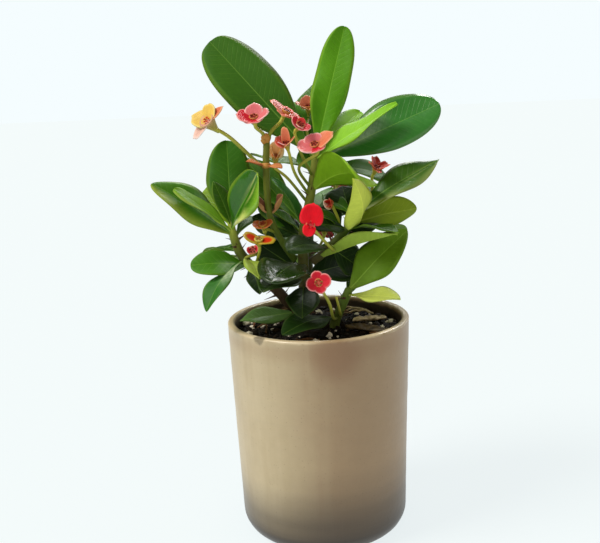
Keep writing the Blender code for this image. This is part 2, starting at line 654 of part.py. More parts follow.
LOW_SHOOT = Shoot(
    "shoot_low",
    ((9, -5, 88, 2.8), (9, -5, 102, 2.8), (9, -5, 116, 2.8), (13, -9, 127, 2.5), (17, -12, 137, 2.2)),
    leaves=(
        Leaf(136, (49, -8, 167), (-0.40, -0.80, 0.45), 23, 0.04, 0.04, 10, belly=0.62, blunt=0.7),
        Leaf(134, (42, -34, 136), (-0.10, -0.20, 1.00), 17, 0.02, 0.04, 12),
        Leaf(120, (-18, -38, 121), (0.00, -0.30, 0.95), 19, 0.10, 0.08, 8, blunt=0.6),
        Leaf(135, (52, 16, 146), (0.10, 0.10, 1.00), 18, 0.14, 0.12, 10),
        Leaf(130, (36, 30, 132), (0.10, 0.30, 0.95), 17, 0.16, 0.14, 10),
    ),
    stalks=(
        Stalk(120, ((8, -20, 124), (6, -27, 134)), "bloom_low_red"),
        Stalk(123, ((12, -16, 125), (10, -20, 135)), radius=0.7),
    ),
    spines=((0, 118, 134, 5, 6),),
)

BACK_SHOOT = Shoot(
    "shoot_back",
    ((-4, 18.3, 136.6, 2.3), (-4, 23, 147, 2.3), (-3, 25, 158, 2.1), (-2, 25, 166, 1.8)),
    leaves=(
        Leaf(164, (12, 58, 184), (0.00, 0.20, 0.90), 20, 0.12, 0.06, 12),
        Leaf(163, (-32, 52, 186), (-0.10, 0.30, 0.90), 20, 0.14, 0.10, 12),
        Leaf(160, (34, 48, 172), (0.20, 0.30, 0.90), 18, 0.16, 0.12, 10),
        Leaf(156, (-2, 70, 170), (0.00, 0.30, 0.95), 20, 0.16, 0.14, 10),
        Leaf(152, (-38, 50, 154), (-0.20, 0.30, 0.90), 18, 0.16, 0.14, 10),
        Leaf(148, (24, 58, 146), (0.10, 0.40, 0.90), 18, 0.16, 0.16, 10),
        Leaf(144, (-12, 62, 138), (0.00, 0.40, 0.90), 17, 0.18, 0.16, 10),
    ),
    stalks=(
        Stalk(150, ((2, 36, 152),), "bloom_back_low"),
    ),
    spines=((0, 140, 162, 5, 6),),
)

FLOWERING_STEM = Shoot(
    "stem_flowering",
    (
        (-11.5, 0.4, 152, 1.7),
        (-16, -4, 160, 1.8),
        (-22, -8, 173, 1.8),
        (-24, -8, 184, 1.8),
        (-24, -8, 204, 1.8),
        (-23, -8, 218, 1.7),
    ),
    leaves=(
        Leaf(204, (-36, -10, 207), (0.00, 0.00, 1.00), 8, 0.04, 0.04, 16),
        Leaf(204, (-14, -12, 203), (0.00, 0.00, 1.00), 8, 0.04, 0.04, 16),
        Leaf(182, (-31, -12, 191), (0.50, 0.00, 0.90), 9, -0.10, -0.06, 20),
        Leaf(182, (-17, -12, 192), (-0.50, 0.00, 0.90), 9, -0.10, -0.06, 20),
    ),
    stalks=(
        Stalk(216.5, ((-25, -9, 221),), "bloom_left_pink", 1.0),
        Stalk(216.5, ((-20, -9, 222),), "bloom_fork_salmon", 1.0),
        Stalk(202, ((-31, -5, 208), (-42, -5, 219)), "bloom_outer_yellow", 1.0),
        Stalk(168, ((-25, -11, 171),), "bloom_under_fork"),
    ),
)

SHOOTS = (MAIN_STEM, CENTRE_SHOOT, LEFT_SHOOT, RIGHT_SHOOT, LOW_SHOOT, BACK_SHOOT, FLOWERING_STEM)
STEM_FEET = ((-6, 3, 88, 3.4), (9, -5, 88, 2.8))
DRY_LEAVES = {
    "dry_leaf_near": ((27, -14), -0.3, 26, 9),
    "dry_leaf_far": ((29, 6), 0.5, 22, 8),
    "dry_leaf_left": ((-22, 22), 2.6, 24, 8),
}

STONEWARE = ((0.52, 0.43, 0.31), 0.32, 0.0)
POTTING_MIX = ((0.02, 0.015, 0.012), 0.95, 0.0)
BARK = ((0.10, 0.06, 0.035), 0.85, 0.0)
LEAF_GREEN = ((0.07, 0.22, 0.03), 0.35, 0.0)
STALK_OLIVE = ((0.16, 0.14, 0.04), 0.55, 0.0)
BRACT_RED = ((0.65, 0.04, 0.06), 0.45, 0.0)
BRACT_SALMON = ((0.72, 0.17, 0.12), 0.45, 0.0)
BRACT_YELLOW = ((0.80, 0.62, 0.22), 0.50, 0.0)
DEAD_LEAF = ((0.38, 0.28, 0.17), 0.85, 0.0)


def bloom_finish(name):
    """The finish of a bloom, which its name tells."""
    if "salmon" in name or "orange" in name or "dried" in name:
        return BRACT_SALMON
    return BRACT_YELLOW if "yellow" in name else BRACT_RED


def main():
    """Clears the scene and builds the plant, piece by piece, into its own collection."""
    for thing in list(bpy.data.objects):
        bpy.data.objects.remove(thing)
    plant = bpy.data.collections.new("crown_of_thorns")
    bpy.context.scene.collection.children.link(plant)
    cutters = bpy.data.collections.new("cutters")
    bpy.context.scene.collection.children.link(cutters)

    finish(pot(), *STONEWARE, plant)
    finish(soil(STEM_FEET, cutters), *POTTING_MIX, plant)
    for shoot in SHOOTS:
        look = LEAF_GREEN
        if shoot is MAIN_STEM:
            look = BARK
        elif shoot is FLOWERING_STEM:
            look = STALK_OLIVE
        finish(shoot_piece(shoot), *look, plant)
    for name, bloom in BLOOMS.items():
        finish(bloom_piece(name, bloom), *bloom_finish(name), plant)
    for name, (middle, turn, length, width) in DRY_LEAVES.items():
        finish(dry_leaf(name, middle, turn, length, width), *DEAD_LEAF, plant)
    for thing in plant.objects:
        thing.data.shade_smooth()
        thing.data.set_sharp_from_angle(angle=math.radians(40))


main()
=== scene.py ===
"""The looks of a crown of thorns plant in its glazed pot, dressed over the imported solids.

The frame is in metres, +Z up, with its origin at the centre of the pot's flat base, and the plant's front
looks along -Y. Places and sizes in the classes and tables below are in millimetres, and MM turns them into
metres. Colours are given in display steps of 0 to 255.
"""

import logging
import math
import random
from dataclasses import dataclass, field
from enum import Enum
from functools import cache, cached_property
from typing import Callable, Optional, Sequence, Union

import bmesh
import bpy
import numpy as np
from mathutils import Matrix, Vector, noise


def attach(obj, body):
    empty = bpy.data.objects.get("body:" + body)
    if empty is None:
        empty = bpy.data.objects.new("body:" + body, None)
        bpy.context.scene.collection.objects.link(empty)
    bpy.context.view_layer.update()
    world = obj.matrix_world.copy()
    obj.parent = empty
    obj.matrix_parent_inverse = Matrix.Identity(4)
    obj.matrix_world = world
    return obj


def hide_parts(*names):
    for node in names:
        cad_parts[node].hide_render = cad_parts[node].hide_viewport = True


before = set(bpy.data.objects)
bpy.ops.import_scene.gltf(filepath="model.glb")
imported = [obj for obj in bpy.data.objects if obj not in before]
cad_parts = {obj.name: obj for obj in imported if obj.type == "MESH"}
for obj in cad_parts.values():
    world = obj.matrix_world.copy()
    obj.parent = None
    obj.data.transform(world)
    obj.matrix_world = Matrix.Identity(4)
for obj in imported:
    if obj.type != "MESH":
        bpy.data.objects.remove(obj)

log = logging.getLogger("crown_of_thorns")

MM = 0.001
ROOT_BODY = "root"
GOLDEN_ANGLE = math.radians(137.5)

# How finely stems are drawn, in millimetres a step and points round, and how their ends are rounded off
STEM_STEP = 9.0
FINE_STEP = 1.4
STEM_AROUND = 14
STALK_AROUND = 10
END_REACH = 0.55
END_RADIUS = 0.45

# Where a Mix node keeps its share, its two colours and its result
MIX_SHARE = 0
MIX_COLOURS = (6, 7)
MIX_RESULT = 2

Point = Sequence[float]
Place = tuple[float, float, float]
Knot = tuple[float, float, float, float]
Colour = tuple[float, float, float]
Socket = bpy.types.NodeSocket
Feed = Union[float, Sequence[float], Socket]


def srgb(colour: Colour) -> tuple[float, float, float, float]:
    """Turns a colour in display steps into linear light.

    Args:
        colour: Red, green and blue from 0 to 255.

    Returns:
        Linear red, green and blue, and a full alpha.
    """

    def linear(step: float) -> float:
        """One channel's share of full light."""
        share = step / 255
        return share / 12.92 if share <= 0.04045 else ((share + 0.055) / 1.055) ** 2.4

    return (*(linear(step) for step in colour), 1.0)


def unit(way: Point) -> np.ndarray:
    """The same direction at length one, for one vector or for rows of them."""
    array = np.asarray(way, float)
    return array / np.linalg.norm(array, axis=-1, keepdims=True)


def turned_about(vectors: np.ndarray, axes: np.ndarray, angles: np.ndarray) -> np.ndarray:
    """Turns vectors that are square to their axes.

    Args:
        vectors: Rows of vectors, each square to its axis.
        axes: Rows of unit axes.
        angles: The turn of each row, in radians.

    Returns:
        The turned rows.
    """
    angles = np.asarray(angles)[..., None]
    return vectors * np.cos(angles) + np.cross(axes, vectors) * np.sin(angles)


def soft_step(low: float, high: float, value: np.ndarray) -> np.ndarray:
    """A smooth rise from 0 at low to 1 at high."""
    share = np.clip((np.asarray(value) - low) / (high - low), 0, 1)
    return share * share * (3 - 2 * share)


def paint(colour: Colour) -> np.ndarray:
    """A colour's linear light, for the tint that a mesh carries."""
    return np.array(srgb(colour)[:3])


def blended(first: Colour, second: Colour, share: np.ndarray) -> np.ndarray:
    """Colours between two, one for each share, in linear light."""
    share = np.asarray(share)[..., None]
    return paint(first) * (1 - share) + paint(second) * share


def laid_over(tint: np.ndarray, colour: Colour, share: np.ndarray) -> np.ndarray:
    """A tint with a colour laid over it, by a share for each point."""
    share = share[..., None]
    return tint * (1 - share) + paint(colour) * share


def blade_ring(half_columns: int) -> tuple[np.ndarray, np.ndarray, np.ndarray]:
    """The points round the section of a thin blade, over its upper side and back under its lower one.

    Args:
        half_columns: How many columns each half of the blade has.

    Returns:
        Each point's place across from -1 to 1, its side (1 above, -1 below, 0 on the rim), and the slot of
        the face after it (0 above, 1 below).
    """
    even = np.linspace(-1, 1, 2 * half_columns + 1)
    across = np.concatenate([even, even[-2:0:-1]])
    inner = np.ones(len(even) - 2)
    side = np.concatenate([[0.0], inner, [0.0], -inner])
    return across, side, np.where(np.arange(len(across)) < len(even) - 1, 0, 1)


def smooth_route(points: Sequence[Point], step: float) -> np.ndarray:
    """Points about one step apart on a smooth curve through the given ones.

    Args:
        points: (x, y, z, radius) of the points that the curve passes through.
        step: The distance between the points that come back.

    Returns:
        Rows of (x, y, z, radius).
    """
    knots = [np.array(p, float) for p in points]
    if len(knots) == 2:
        knots.insert(1, (knots[0] + knots[1]) / 2)
    ends = [2 * knots[0] - knots[1], *knots, 2 * knots[-1] - knots[-2]]
    line = []
    for a, b, c, d in zip(ends, ends[1:], ends[2:], ends[3:]):
        count = max(1, round(float(np.linalg.norm((c - b)[:3])) / step))
        for i in range(count):
            t = i / count
            bend = (2 * a - 5 * b + 4 * c - d) * t**2 + (3 * b - a - 3 * c + d) * t**3
            line.append(0.5 * (2 * b + (c - a) * t + bend))
    line.append(knots[-1])
    return np.array(line)


def stem_at(route: Sequence[Point], height: float) -> tuple[np.ndarray, np.ndarray, float]:
    """Where a rising stem is at a height.

    Args:
        route: The stem's (x, y, z, radius) points.
        height: The height of the place.

    Returns:
        The point, the stem's direction there and its radius.
    """
    line = smooth_route(route, STEM_STEP)
    for a, b in zip(line, line[1:]):
        if b[2] >= height:
            break
    point = a + (b - a) * (height - a[2]) / (b[2] - a[2])
    return point[:3], unit((b - a)[:3]), float(point[3])


class Skin(Enum):
    """The named values that a mesh carries for its materials, and how each is stored."""

    TINT = ("skin_tint", "FLOAT_COLOR")
    PLACE = ("skin_place", "FLOAT_VECTOR")
    SHARE = ("skin_share", "FLOAT_VECTOR")


@dataclass
class MeshDraft:
    """Rows of points in millimetres, gathered into one smooth closed mesh with named values."""

    points: list[np.ndarray] = field(default_factory=list)
    faces: list[tuple[int, ...]] = field(default_factory=list)
    slots: list[int] = field(default_factory=list)
    values: dict[Skin, list[np.ndarray]] = field(default_factory=lambda: {skin: [] for skin in Skin})
    count: int = 0

    def add_rings(
        self,
        rings: np.ndarray,
        slots: Union[int, np.ndarray] = 0,
        values: Optional[dict[Skin, np.ndarray]] = None,
    ) -> None:
        """Adds a closed body made of rings, each joined to the next, with both ends closed.

        Args:
            rings: Points as (rings, points in a ring, 3); a ring holds an even number of points.
            slots: The material slot of the faces after each point of a ring, or one for all.
            values: A value for each point, for the materials.
        """
        rows, around = rings.shape[:2]
        index = self.count + np.arange(rows * around).reshape(rows, around)
        after = np.roll(index, -1, axis=1)
        quads = np.stack([index[:-1], after[:-1], after[1:], index[1:]], axis=-1).reshape(-1, 4)
        self.faces += [tuple(face) for face in quads.tolist()]
        self.slots += np.broadcast_to(slots, (rows - 1, around)).ravel().tolist()
        for row in (index[0], index[-1]):
            for k in range(around // 2):
                corners = [row[k], row[k + 1], row[around - k - 1], row[(around - k) % around]]
                self.faces.append(tuple(int(c) for c in dict.fromkeys(corners)))
                self.slots.append(int(np.broadcast_to(slots, around)[k]))
        self.points.append(rings.reshape(-1, 3))
        for skin, held in self.values.items():
            given = (values or {}).get(skin)
            flat = np.zeros((rows * around, 3)) if given is None else np.broadcast_to(given, rings.shape)
            held.append(flat.reshape(-1, 3))
        self.count += rows * around

    def build(self, name: str, materials: Sequence[bpy.types.Material]) -> bpy.types.Object:
        """Makes the object.

        Args:
            name: The piece's name.
            materials: Its materials, in the order of the slots.

        Returns:
            The new object, in the scene.
        """
        mesh = bpy.data.meshes.new(name)
        mesh.from_pydata((np.concatenate(self.points) * MM).tolist(), [], self.faces)
        mesh.polygons.foreach_set("material_index", self.slots)
        shape = bmesh.new()
        shape.from_mesh(mesh)
        bmesh.ops.recalc_face_normals(shape, faces=shape.faces)
        shape.to_mesh(mesh)
        shape.free()
        for skin, held in self.values.items():
            kind = skin.value[1]
            rows = np.concatenate(held)
            if kind == "FLOAT_COLOR":
                rows = np.concatenate([rows, np.ones((len(rows), 1))], axis=1)
            layer = mesh.attributes.new(skin.value[0], kind, "POINT")
            channel = "color" if kind == "FLOAT_COLOR" else "vector"
            layer.data.foreach_set(channel, rows.astype(np.float32).ravel())
        for material in materials:
            mesh.materials.append(material)
        mesh.shade_smooth()
        return placed(name, mesh)


def placed(name: str, data: bpy.types.ID) -> bpy.types.Object:
    """A new object of a mesh, a light or a camera, in the scene."""
    thing = bpy.data.objects.new(name, data)
    bpy.context.scene.collection.objects.link(thing)
    return thing


def settle(piece: bpy.types.Object, slot: str, *nodes: str) -> None:
    """Gives a piece its body, hides the solids it stands for, and reports it.

    Args:
        piece: The finished piece.
        slot: The record's material slot; not used.
        nodes: The solids that the piece stands for.
    """
    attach(piece, ROOT_BODY)
    if nodes:
        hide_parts(*nodes)
    log.info("%s: %d faces, for %s", piece.name, len(piece.data.polygons), ", ".join(nodes) or "itself")


def tube_rings(
    line: np.ndarray, around: int, ripple: Optional[Callable[[float, float], float]] = None
) -> np.ndarray:
    """Rings round a line.

    Args:
        line: Rows of (x, y, z, radius).
        around: How many points each ring has.
        ripple: A factor on the radius at a distance along the line and an angle round it.

    Returns:
        Points as (rings, points in a ring, 3).
    """
    centres = line[:, :3]
    ahead = unit(np.gradient(centres, axis=0))
    across = unit(np.cross(ahead[0], [0.3, 0.9, 0.2]))
    along = 0.0
    rings = []
    for i, (centre, way) in enumerate(zip(centres, ahead)):
        across = unit(across - way * float(np.dot(across, way)))
        other = np.cross(way, across)
        along += float(np.linalg.norm(centre - centres[i - 1])) if i else 0.0
        ring = []
        for k in range(around):
            angle = 2 * math.pi * k / around
            radius = line[i, 3] * (ripple(along, angle) if ripple else 1.0)
            ring.append(centre + radius * (across * math.cos(angle) + other * math.sin(angle)))
        rings.append(ring)
    return np.array(rings)


def closing(line: np.ndarray) -> np.ndarray:
    """The same line with a last short step that rounds its end off."""
    last = line[-1].copy()
    way = unit((line[-1] - line[-2])[:3])
    last[:3] += way * last[3] * END_REACH
    last[3] *= END_RADIUS
    return np.vstack([line, last])


class Graph:
    """The node tree of a material or a backdrop, with short calls that add nodes and join their sockets."""

    def __init__(self, owner: Union[bpy.types.Material, bpy.types.World]) -> None:
        """Clears the owner's node tree."""
        self.owner = owner
        owner.use_nodes = True
        self.tree = owner.node_tree
        self.tree.nodes.clear()

    def add(
        self, kind: str, feeds: dict[Union[int, str], Feed], **settings: Union[str, bool]
    ) -> bpy.types.Node:
        """Adds a node.

        Args:
            kind: The node's kind.
            feeds: What its sockets are linked or set to, by their names or places.
            settings: The node's own settings.

        Returns:
            The new node.
        """
        node = self.tree.nodes.new(f"ShaderNode{kind}")
        for name, value in settings.items():
            setattr(node, name, value)
        for key, value in feeds.items():
            if isinstance(value, Socket):
                self.tree.links.new(value, node.inputs[key])
            else:
                node.inputs[key].default_value = value
        return node

    def dress(self, **sockets: Feed) -> bpy.types.Material:
        """Ends a material with a Principled shader, whose sockets have underscores for spaces here."""
        feeds = {name.replace("_", " "): value for name, value in sockets.items()}
        shader = self.add("BsdfPrincipled", feeds)
        self.add("OutputMaterial", {"Surface": shader.outputs["BSDF"]})
        return self.owner

    @cached_property
    def coordinates(self) -> Socket:
        """The object's own coordinates."""
        return self.add("TexCoord", {}).outputs["Object"]

    def calc(self, operation: str, a: Feed, b: Feed = 0.0, clamp: bool = False) -> Socket:
        """The result of a Math node on two values."""
        return self.add("Math", {0: a, 1: b}, operation=operation, use_clamp=clamp).outputs[0]

    def times(self, a: Feed, b: Feed) -> Socket:
        """One value times another."""
        return self.calc("MULTIPLY", a, b)

    def plus(self, a: Feed, b: Feed) -> Socket:
        """The sum of two values."""
        return self.calc("ADD", a, b)

    def ridges(self, phase: Feed) -> Socket:
        """Ridges that are 1 at each whole number of a phase and 0 halfway between."""
        turn = self.calc("FRACT", phase)
        return self.times(self.calc("ABSOLUTE", self.calc("SUBTRACT", turn, 0.5)), 2.0)

    def step(self, value: Feed, low: float, high: float, to_low: float = 0.0, to_high: float = 1.0) -> Socket:
        """A smooth change from to_low, where the value is low, to to_high, where it is high."""
        feeds = {"Value": value, "From Min": low, "From Max": high, "To Min": to_low, "To Max": to_high}
        return self.add("MapRange", feeds, interpolation_type="SMOOTHSTEP").outputs["Result"]

    def mix(self, share: Feed, a: Feed, b: Feed, blend: str = "MIX") -> Socket:
        """The colour between two, or one laid over the other by a blend."""
        first, second = MIX_COLOURS
        feeds = {MIX_SHARE: share, first: a, second: b}
        return self.add("Mix", feeds, data_type="RGBA", blend_type=blend).outputs[MIX_RESULT]

    def mottled(self, colour: Feed, pattern: Feed, low: Colour, high: Colour) -> Socket:
        """A colour times a factor on its red, green and blue that a pattern takes from low to high."""
        return self.mix(1.0, colour, self.mix(pattern, (*low, 1), (*high, 1)), "MULTIPLY")

    def cloud(
        self, scale: float, detail: float = 3.0, roughness: float = 0.5, where: Optional[Feed] = None
    ) -> Socket:
        """Smooth noise from 0 to 1, with scale in cells a metre."""
        feeds = {"Scale": scale, "Detail": detail, "Roughness": roughness}
        return self.add("TexNoise", feeds | {"Vector": where or self.coordinates}).outputs["Fac"]

    def cells(self, scale: float) -> Socket:
        """The distance from the middles of a pattern of cells, with scale in cells a metre."""
        return self.add("TexVoronoi", {"Scale": scale, "Vector": self.coordinates}).outputs["Distance"]

    def stretched(self, x: float, y: float, z: float) -> Socket:
        """The object's coordinates, scaled differently along each axis."""
        return self.add("VectorMath", {0: self.coordinates, 1: (x, y, z)}, operation="MULTIPLY").outputs[0]

    def away_from(self, place: Point) -> Socket:
        """The distance from a place, in metres."""
        feeds = {0: self.coordinates, 1: tuple(place)}
        return self.add("VectorMath", feeds, operation="DISTANCE").outputs["Value"]

    def joined(self, x: Feed, y: Feed, z: Feed) -> Socket:
        """A vector of three numbers."""
        return self.add("CombineXYZ", {0: x, 1: y, 2: z}).outputs[0]

    def parts(self, vector: Feed) -> tuple[Socket, ...]:
        """The three parts of a vector."""
        return tuple(self.add("SeparateXYZ", {0: vector}).outputs)

    def skin(self, value: Skin) -> Socket:
        """One of the mesh's named values: a colour for the tint, and a vector for the others."""
        node = self.add("Attribute", {}, attribute_name=value.value[0])
        return node.outputs["Color" if value is Skin.TINT else "Vector"]

    def relief(self, height: Feed, depth_mm: float) -> Socket:
        """A bump of a real depth from a height of 0 to 1."""
        return self.add("Bump", {"Distance": depth_mm * MM, "Height": height}).outputs["Normal"]


@dataclass(frozen=True)
class LeafFinish:
    """A leaf's upper or lower skin: its own tint with a midrib, side veins and streaks, and its own gloss.

    matt and glossy are the roughness at gloss 0 and 1, coat is the waxy coat at gloss 1, rib_width and depth
    are in millimetres, and the shares are how pale the midrib and the veins are.
    """

    name: str
    matt: float
    glossy: float
    coat: float
    rib_width: float
    rib_share: float
    vein_share: float
    depth: float
    pale: Colour

    @cache
    def material(self) -> bpy.types.Material:
        """Makes the material once."""
        g = Graph(bpy.data.materials.new(self.name))
        across, _, phase = g.parts(g.skin(Skin.PLACE))
        share, along, gloss = g.parts(g.skin(Skin.SHARE))
        tint = g.skin(Skin.TINT)
        away = g.calc("ABSOLUTE", across)
        outward = g.calc("ABSOLUTE", share)
        taper = g.step(along, 0.0, 1.0, self.rib_width, self.rib_width * 0.3)
        rib = g.step(g.calc("DIVIDE", away, taper), 1.0, 0.35)
        wander = g.plus(g.times(g.cloud(40.0, 2.0), 1.2), g.times(g.cloud(200.0, 2.0), 0.15))
        fading = g.times(g.step(outward, 0.95, 0.45), g.step(g.cloud(55.0, 2.0), 0.34, 0.62))
        vein = g.times(g.step(g.ridges(g.plus(phase, wander)), 0.82, 1.0), fading)
        streaks = g.cloud(2.2, 4.0, 0.62, g.joined(phase, g.times(away, 0.10), gloss))
        colour = g.mottled(tint, g.cloud(38.0, 3.0, 0.55), (0.70, 0.76, 0.72), (1.26, 1.22, 1.20))
        colour = g.mottled(colour, streaks, (0.84, 0.87, 0.84), (1.16, 1.13, 1.16))
        colour = g.mottled(colour, g.cloud(480.0, 2.0, 0.6), (0.90, 0.92, 0.9), (1.10, 1.08, 1.10))
        pale = g.mix(1.0, g.mix(0.22, tint, srgb(self.pale)), (1.5, 1.4, 1.3, 1), "MULTIPLY")
        colour = g.mix(g.times(vein, self.vein_share), colour, pale)
        colour = g.mix(g.times(rib, self.rib_share), colour, pale)
        colour = g.mix(g.step(outward, 0.95, 1.0, 0.0, 0.22), colour, pale)
        shine = g.step(gloss, 0.0, 1.0, self.matt, self.glossy)
        dull = g.times(g.calc("SUBTRACT", g.cloud(60.0, 4.0, 0.6), 0.5), 0.25)
        height = g.plus(g.times(streaks, g.step(gloss, 0.2, 1.0, 0.25, 0.9)), g.times(vein, -0.35))
        height = g.plus(height, g.times(g.cloud(900.0, 2.0), 0.10))
        height = g.plus(height, g.times(g.cloud(95.0, 2.0), 1.1))
        return g.dress(
            Base_Color=colour,
            Roughness=g.calc("ADD", shine, dull, clamp=True),
            Specular_IOR_Level=0.13,
            Coat_Weight=g.step(gloss, 0.35, 1.0, 0.0, self.coat),
            Coat_Roughness=0.14,
            Normal=g.relief(height, self.depth),
        )


@dataclass(frozen=True)
class StemFinish:
    """The skin of a stem or stalk: its own tint, lengthwise streaks and small warts."""

    name: str
    roughness: float
    streak: float
    depth: float

    @cache
    def material(self) -> bpy.types.Material:
        """Makes the material once."""
        g = Graph(bpy.data.materials.new(self.name))
        streaks = g.cloud(1.0, 4.0, 0.65, g.stretched(900.0, 900.0, 160.0))
        blots = g.cloud(210.0, 3.0, 0.6)
        colour = g.mottled(g.skin(Skin.TINT), streaks, (1.0 - self.streak,) * 3, (1.0 + self.streak,) * 3)
        warts = g.step(g.cells(700.0), 0.30, 0.0)
        return g.dress(
            Base_Color=g.mottled(colour, blots, (0.75, 0.72, 0.70), (1.2, 1.2, 1.15)),
            Roughness=g.plus(g.times(blots, 0.25), self.roughness - 0.12),
            Specular_IOR_Level=0.18,
            Normal=g.relief(g.plus(streaks, g.times(warts, 0.5)), self.depth),
        )


@dataclass(frozen=True)
class PetalFinish:
    """The velvety skin of a bract: its own tint with fine veins that fan out from the root."""

    name: str
    roughness: float
    vein_share: float

    @cache
    def material(self) -> bpy.types.Material:
        """Makes the material once."""
        g = Graph(bpy.data.materials.new(self.name))
        _, radius, fan = g.parts(g.skin(Skin.PLACE))
        lines = g.ridges(g.plus(g.times(fan, 6.0), g.times(g.cloud(420.0, 2.0), 0.7)))
        vein = g.times(g.step(lines, 0.70, 1.0), g.step(radius, 1.05, 0.5))
        cloud = g.cloud(260.0, 3.0, 0.6)
        colour = g.mottled(g.skin(Skin.TINT), cloud, (0.80, 0.72, 0.72), (1.14, 1.20, 1.20))
        dark = g.mix(1.0, colour, (0.72, 0.45, 0.48, 1), "MULTIPLY")
        return g.dress(
            Base_Color=g.mix(g.times(vein, self.vein_share), colour, dark),
            Roughness=self.roughness,
            Specular_IOR_Level=0.14,
            Normal=g.relief(g.calc("SUBTRACT", cloud, g.times(vein, 0.4)), 0.18),
        )


# Marks on the pot: a chip on the rim at the front left, and a faint stain under the rim in the middle
CHIP_PLACE = np.array((-30.6, -39.4, 120.2))
STAIN_PLACE = np.array((9.0, -50.0, 112.0))


@dataclass(frozen=True)
class GlazeFinish:
    """The pot's beige glaze: clouds, runs, specks, a chip, a stain, a pale rim and a browner right side,
    painted shade.

    The heights and distances that bound its marks are in metres.
    """

    name: str = "beige_glaze"
    light: Colour = (188, 173, 142)
    dark: Colour = (176, 159, 126)
    painted_shade_brown: Colour = (156, 130, 97)
    speck: Colour = (104, 82, 58)
    inside: Colour = (58, 47, 35)
    rim: Colour = (206, 190, 158)
    bare: Colour = (112, 104, 84)
    stain: Colour = (134, 98, 66)

    @cache
    def material(self) -> bpy.types.Material:
        """Makes the material once."""
        g = Graph(bpy.data.materials.new(self.name))
        x, y, height = g.parts(g.coordinates)
        runs = g.cloud(1.0, 4.0, 0.6, g.stretched(150.0, 150.0, 9.0))
        clouds = g.cloud(22.0, 4.0, 0.55)
        small = g.cloud(170.0, 4.0, 0.65)
        share = g.plus(g.times(runs, 0.45), g.times(clouds, 0.55))
        colour = g.mix(g.step(share, 0.36, 0.66), srgb(self.dark), srgb(self.light))
        # Painted shade: the right side, away from the key light, turns browner
        painted_shade_side = g.plus(x, g.times(g.calc("SUBTRACT", share, 0.5), 0.05))
        colour = g.mix(g.step(painted_shade_side, -0.030, 0.016), colour, srgb(self.painted_shade_brown))
        colour = g.mottled(colour, small, (0.93, 0.925, 0.915), (1.06, 1.06, 1.06))
        specks = g.step(g.cells(430.0), 0.13, 0.06)
        colour = g.mix(g.times(specks, 0.45), colour, srgb(self.speck))
        uneven = g.plus(height, g.times(small, 0.0026))
        colour = g.mix(g.step(uneven, 0.1196, 0.1210, 0.0, 0.85), colour, srgb(self.rim))
        # A faint browner band just below the rim
        below = g.plus(height, g.times(clouds, 0.006))
        under_rim_band = g.times(g.step(below, 0.1085, 0.1165), g.step(below, 0.1215, 0.1175))
        colour = g.mix(g.times(under_rim_band, 0.22), colour, srgb(self.stain))
        stained = g.step(g.plus(g.away_from(STAIN_PLACE * MM), g.times(clouds, 0.012)), 0.026, 0.010)
        stained = g.times(stained, g.step(g.plus(x, g.times(small, 0.002)), -0.0052, -0.0034))
        colour = g.mix(g.times(stained, 0.70), colour, srgb(self.stain))
        # The inner wall below the rim is coloured dark brown
        away = g.calc("SQRT", g.plus(g.times(x, x), g.times(y, y)))
        darker_inside = g.times(g.step(away, 0.0478, 0.0464), g.step(uneven, 0.1200, 0.1180))
        colour = g.mix(darker_inside, colour, srgb(self.inside))
        chipped = g.step(g.plus(g.away_from(CHIP_PLACE * MM), g.times(small, 0.0030)), 0.0058, 0.0044)
        earthy = g.mix(g.cloud(900.0, 3.0), srgb(self.inside), srgb(self.rim))
        colour = g.mix(chipped, colour, g.mix(0.45, srgb(self.bare), earthy))
        shine = g.plus(g.times(clouds, 0.20), 0.30)
        throwing = g.cloud(1.0, 2.0, 0.5, g.stretched(9.0, 9.0, 420.0))
        return g.dress(
            Base_Color=colour,
            Roughness=g.calc("ADD", shine, g.times(chipped, 0.5), clamp=True),
            Coat_Weight=0.12,
            Coat_Roughness=0.15,
            Normal=g.relief(g.plus(g.times(g.cloud(330.0, 3.0), 0.6), throwing), 0.12),
        )


@dataclass(frozen=True)
class EarthFinish:
    """Loose matter in the pot: its own tint, rough and grainy, with grain in cells a metre."""

    name: str
    grain: float
    depth: float
    roughness: float = 0.92

    @cache
    def material(self) -> bpy.types.Material:
        """Makes the material once."""
        g = Graph(bpy.data.materials.new(self.name))
        coarse = g.cloud(self.grain, 6.0, 0.7)
        fine = g.cloud(self.grain * 5, 3.0, 0.7)
        colour = g.mottled(g.skin(Skin.TINT), coarse, (0.45, 0.42, 0.40), (1.7, 1.65, 1.6))
        return g.dress(
            Base_Color=g.mottled(colour, fine, (0.6, 0.6, 0.6), (1.5, 1.5, 1.5)),
            Roughness=self.roughness,
            Specular_IOR_Level=0.15,
            Normal=g.relief(g.plus(coarse, g.times(fine, 0.6)), self.depth),
        )


LEAF_TOP = LeafFinish(
    "leaf_upper_skin", matt=0.62, glossy=0.26, coat=0.62, rib_width=0.55, rib_share=0.75, vein_share=0.30,
    depth=0.30, pale=(150, 190, 90),
)
LEAF_BACK = LeafFinish(
    "leaf_lower_skin", matt=0.70, glossy=0.45, coat=0.05, rib_width=0.70, rib_share=0.60, vein_share=0.30,
    depth=0.25, pale=(186, 204, 112),
)
YOUNG_SKIN = StemFinish("young_stem_skin", roughness=0.50, streak=0.22, depth=0.20)
BARK = StemFinish("grey_brown_bark", roughness=0.82, streak=0.55, depth=0.55)
THORN = StemFinish("dry_thorn", roughness=0.60, streak=0.15, depth=0.08)
GLAND = StemFinish("glands_and_anthers", roughness=0.35, streak=0.10, depth=0.05)
PETAL_FACE = PetalFinish("bract_face", roughness=0.42, vein_share=0.45)
PETAL_BACK = PetalFinish("bract_back", roughness=0.50, vein_share=0.25)
GLAZE = GlazeFinish()
EARTH = EarthFinish("potting_mix", grain=260.0, depth=1.2)
CRUMB = EarthFinish("loose_crumbs", grain=500.0, depth=0.5)
PERLITE = EarthFinish("perlite_grains", grain=900.0, depth=0.2, roughness=0.8)
DEAD = EarthFinish("dead_leaf", grain=240.0, depth=0.25, roughness=0.75)


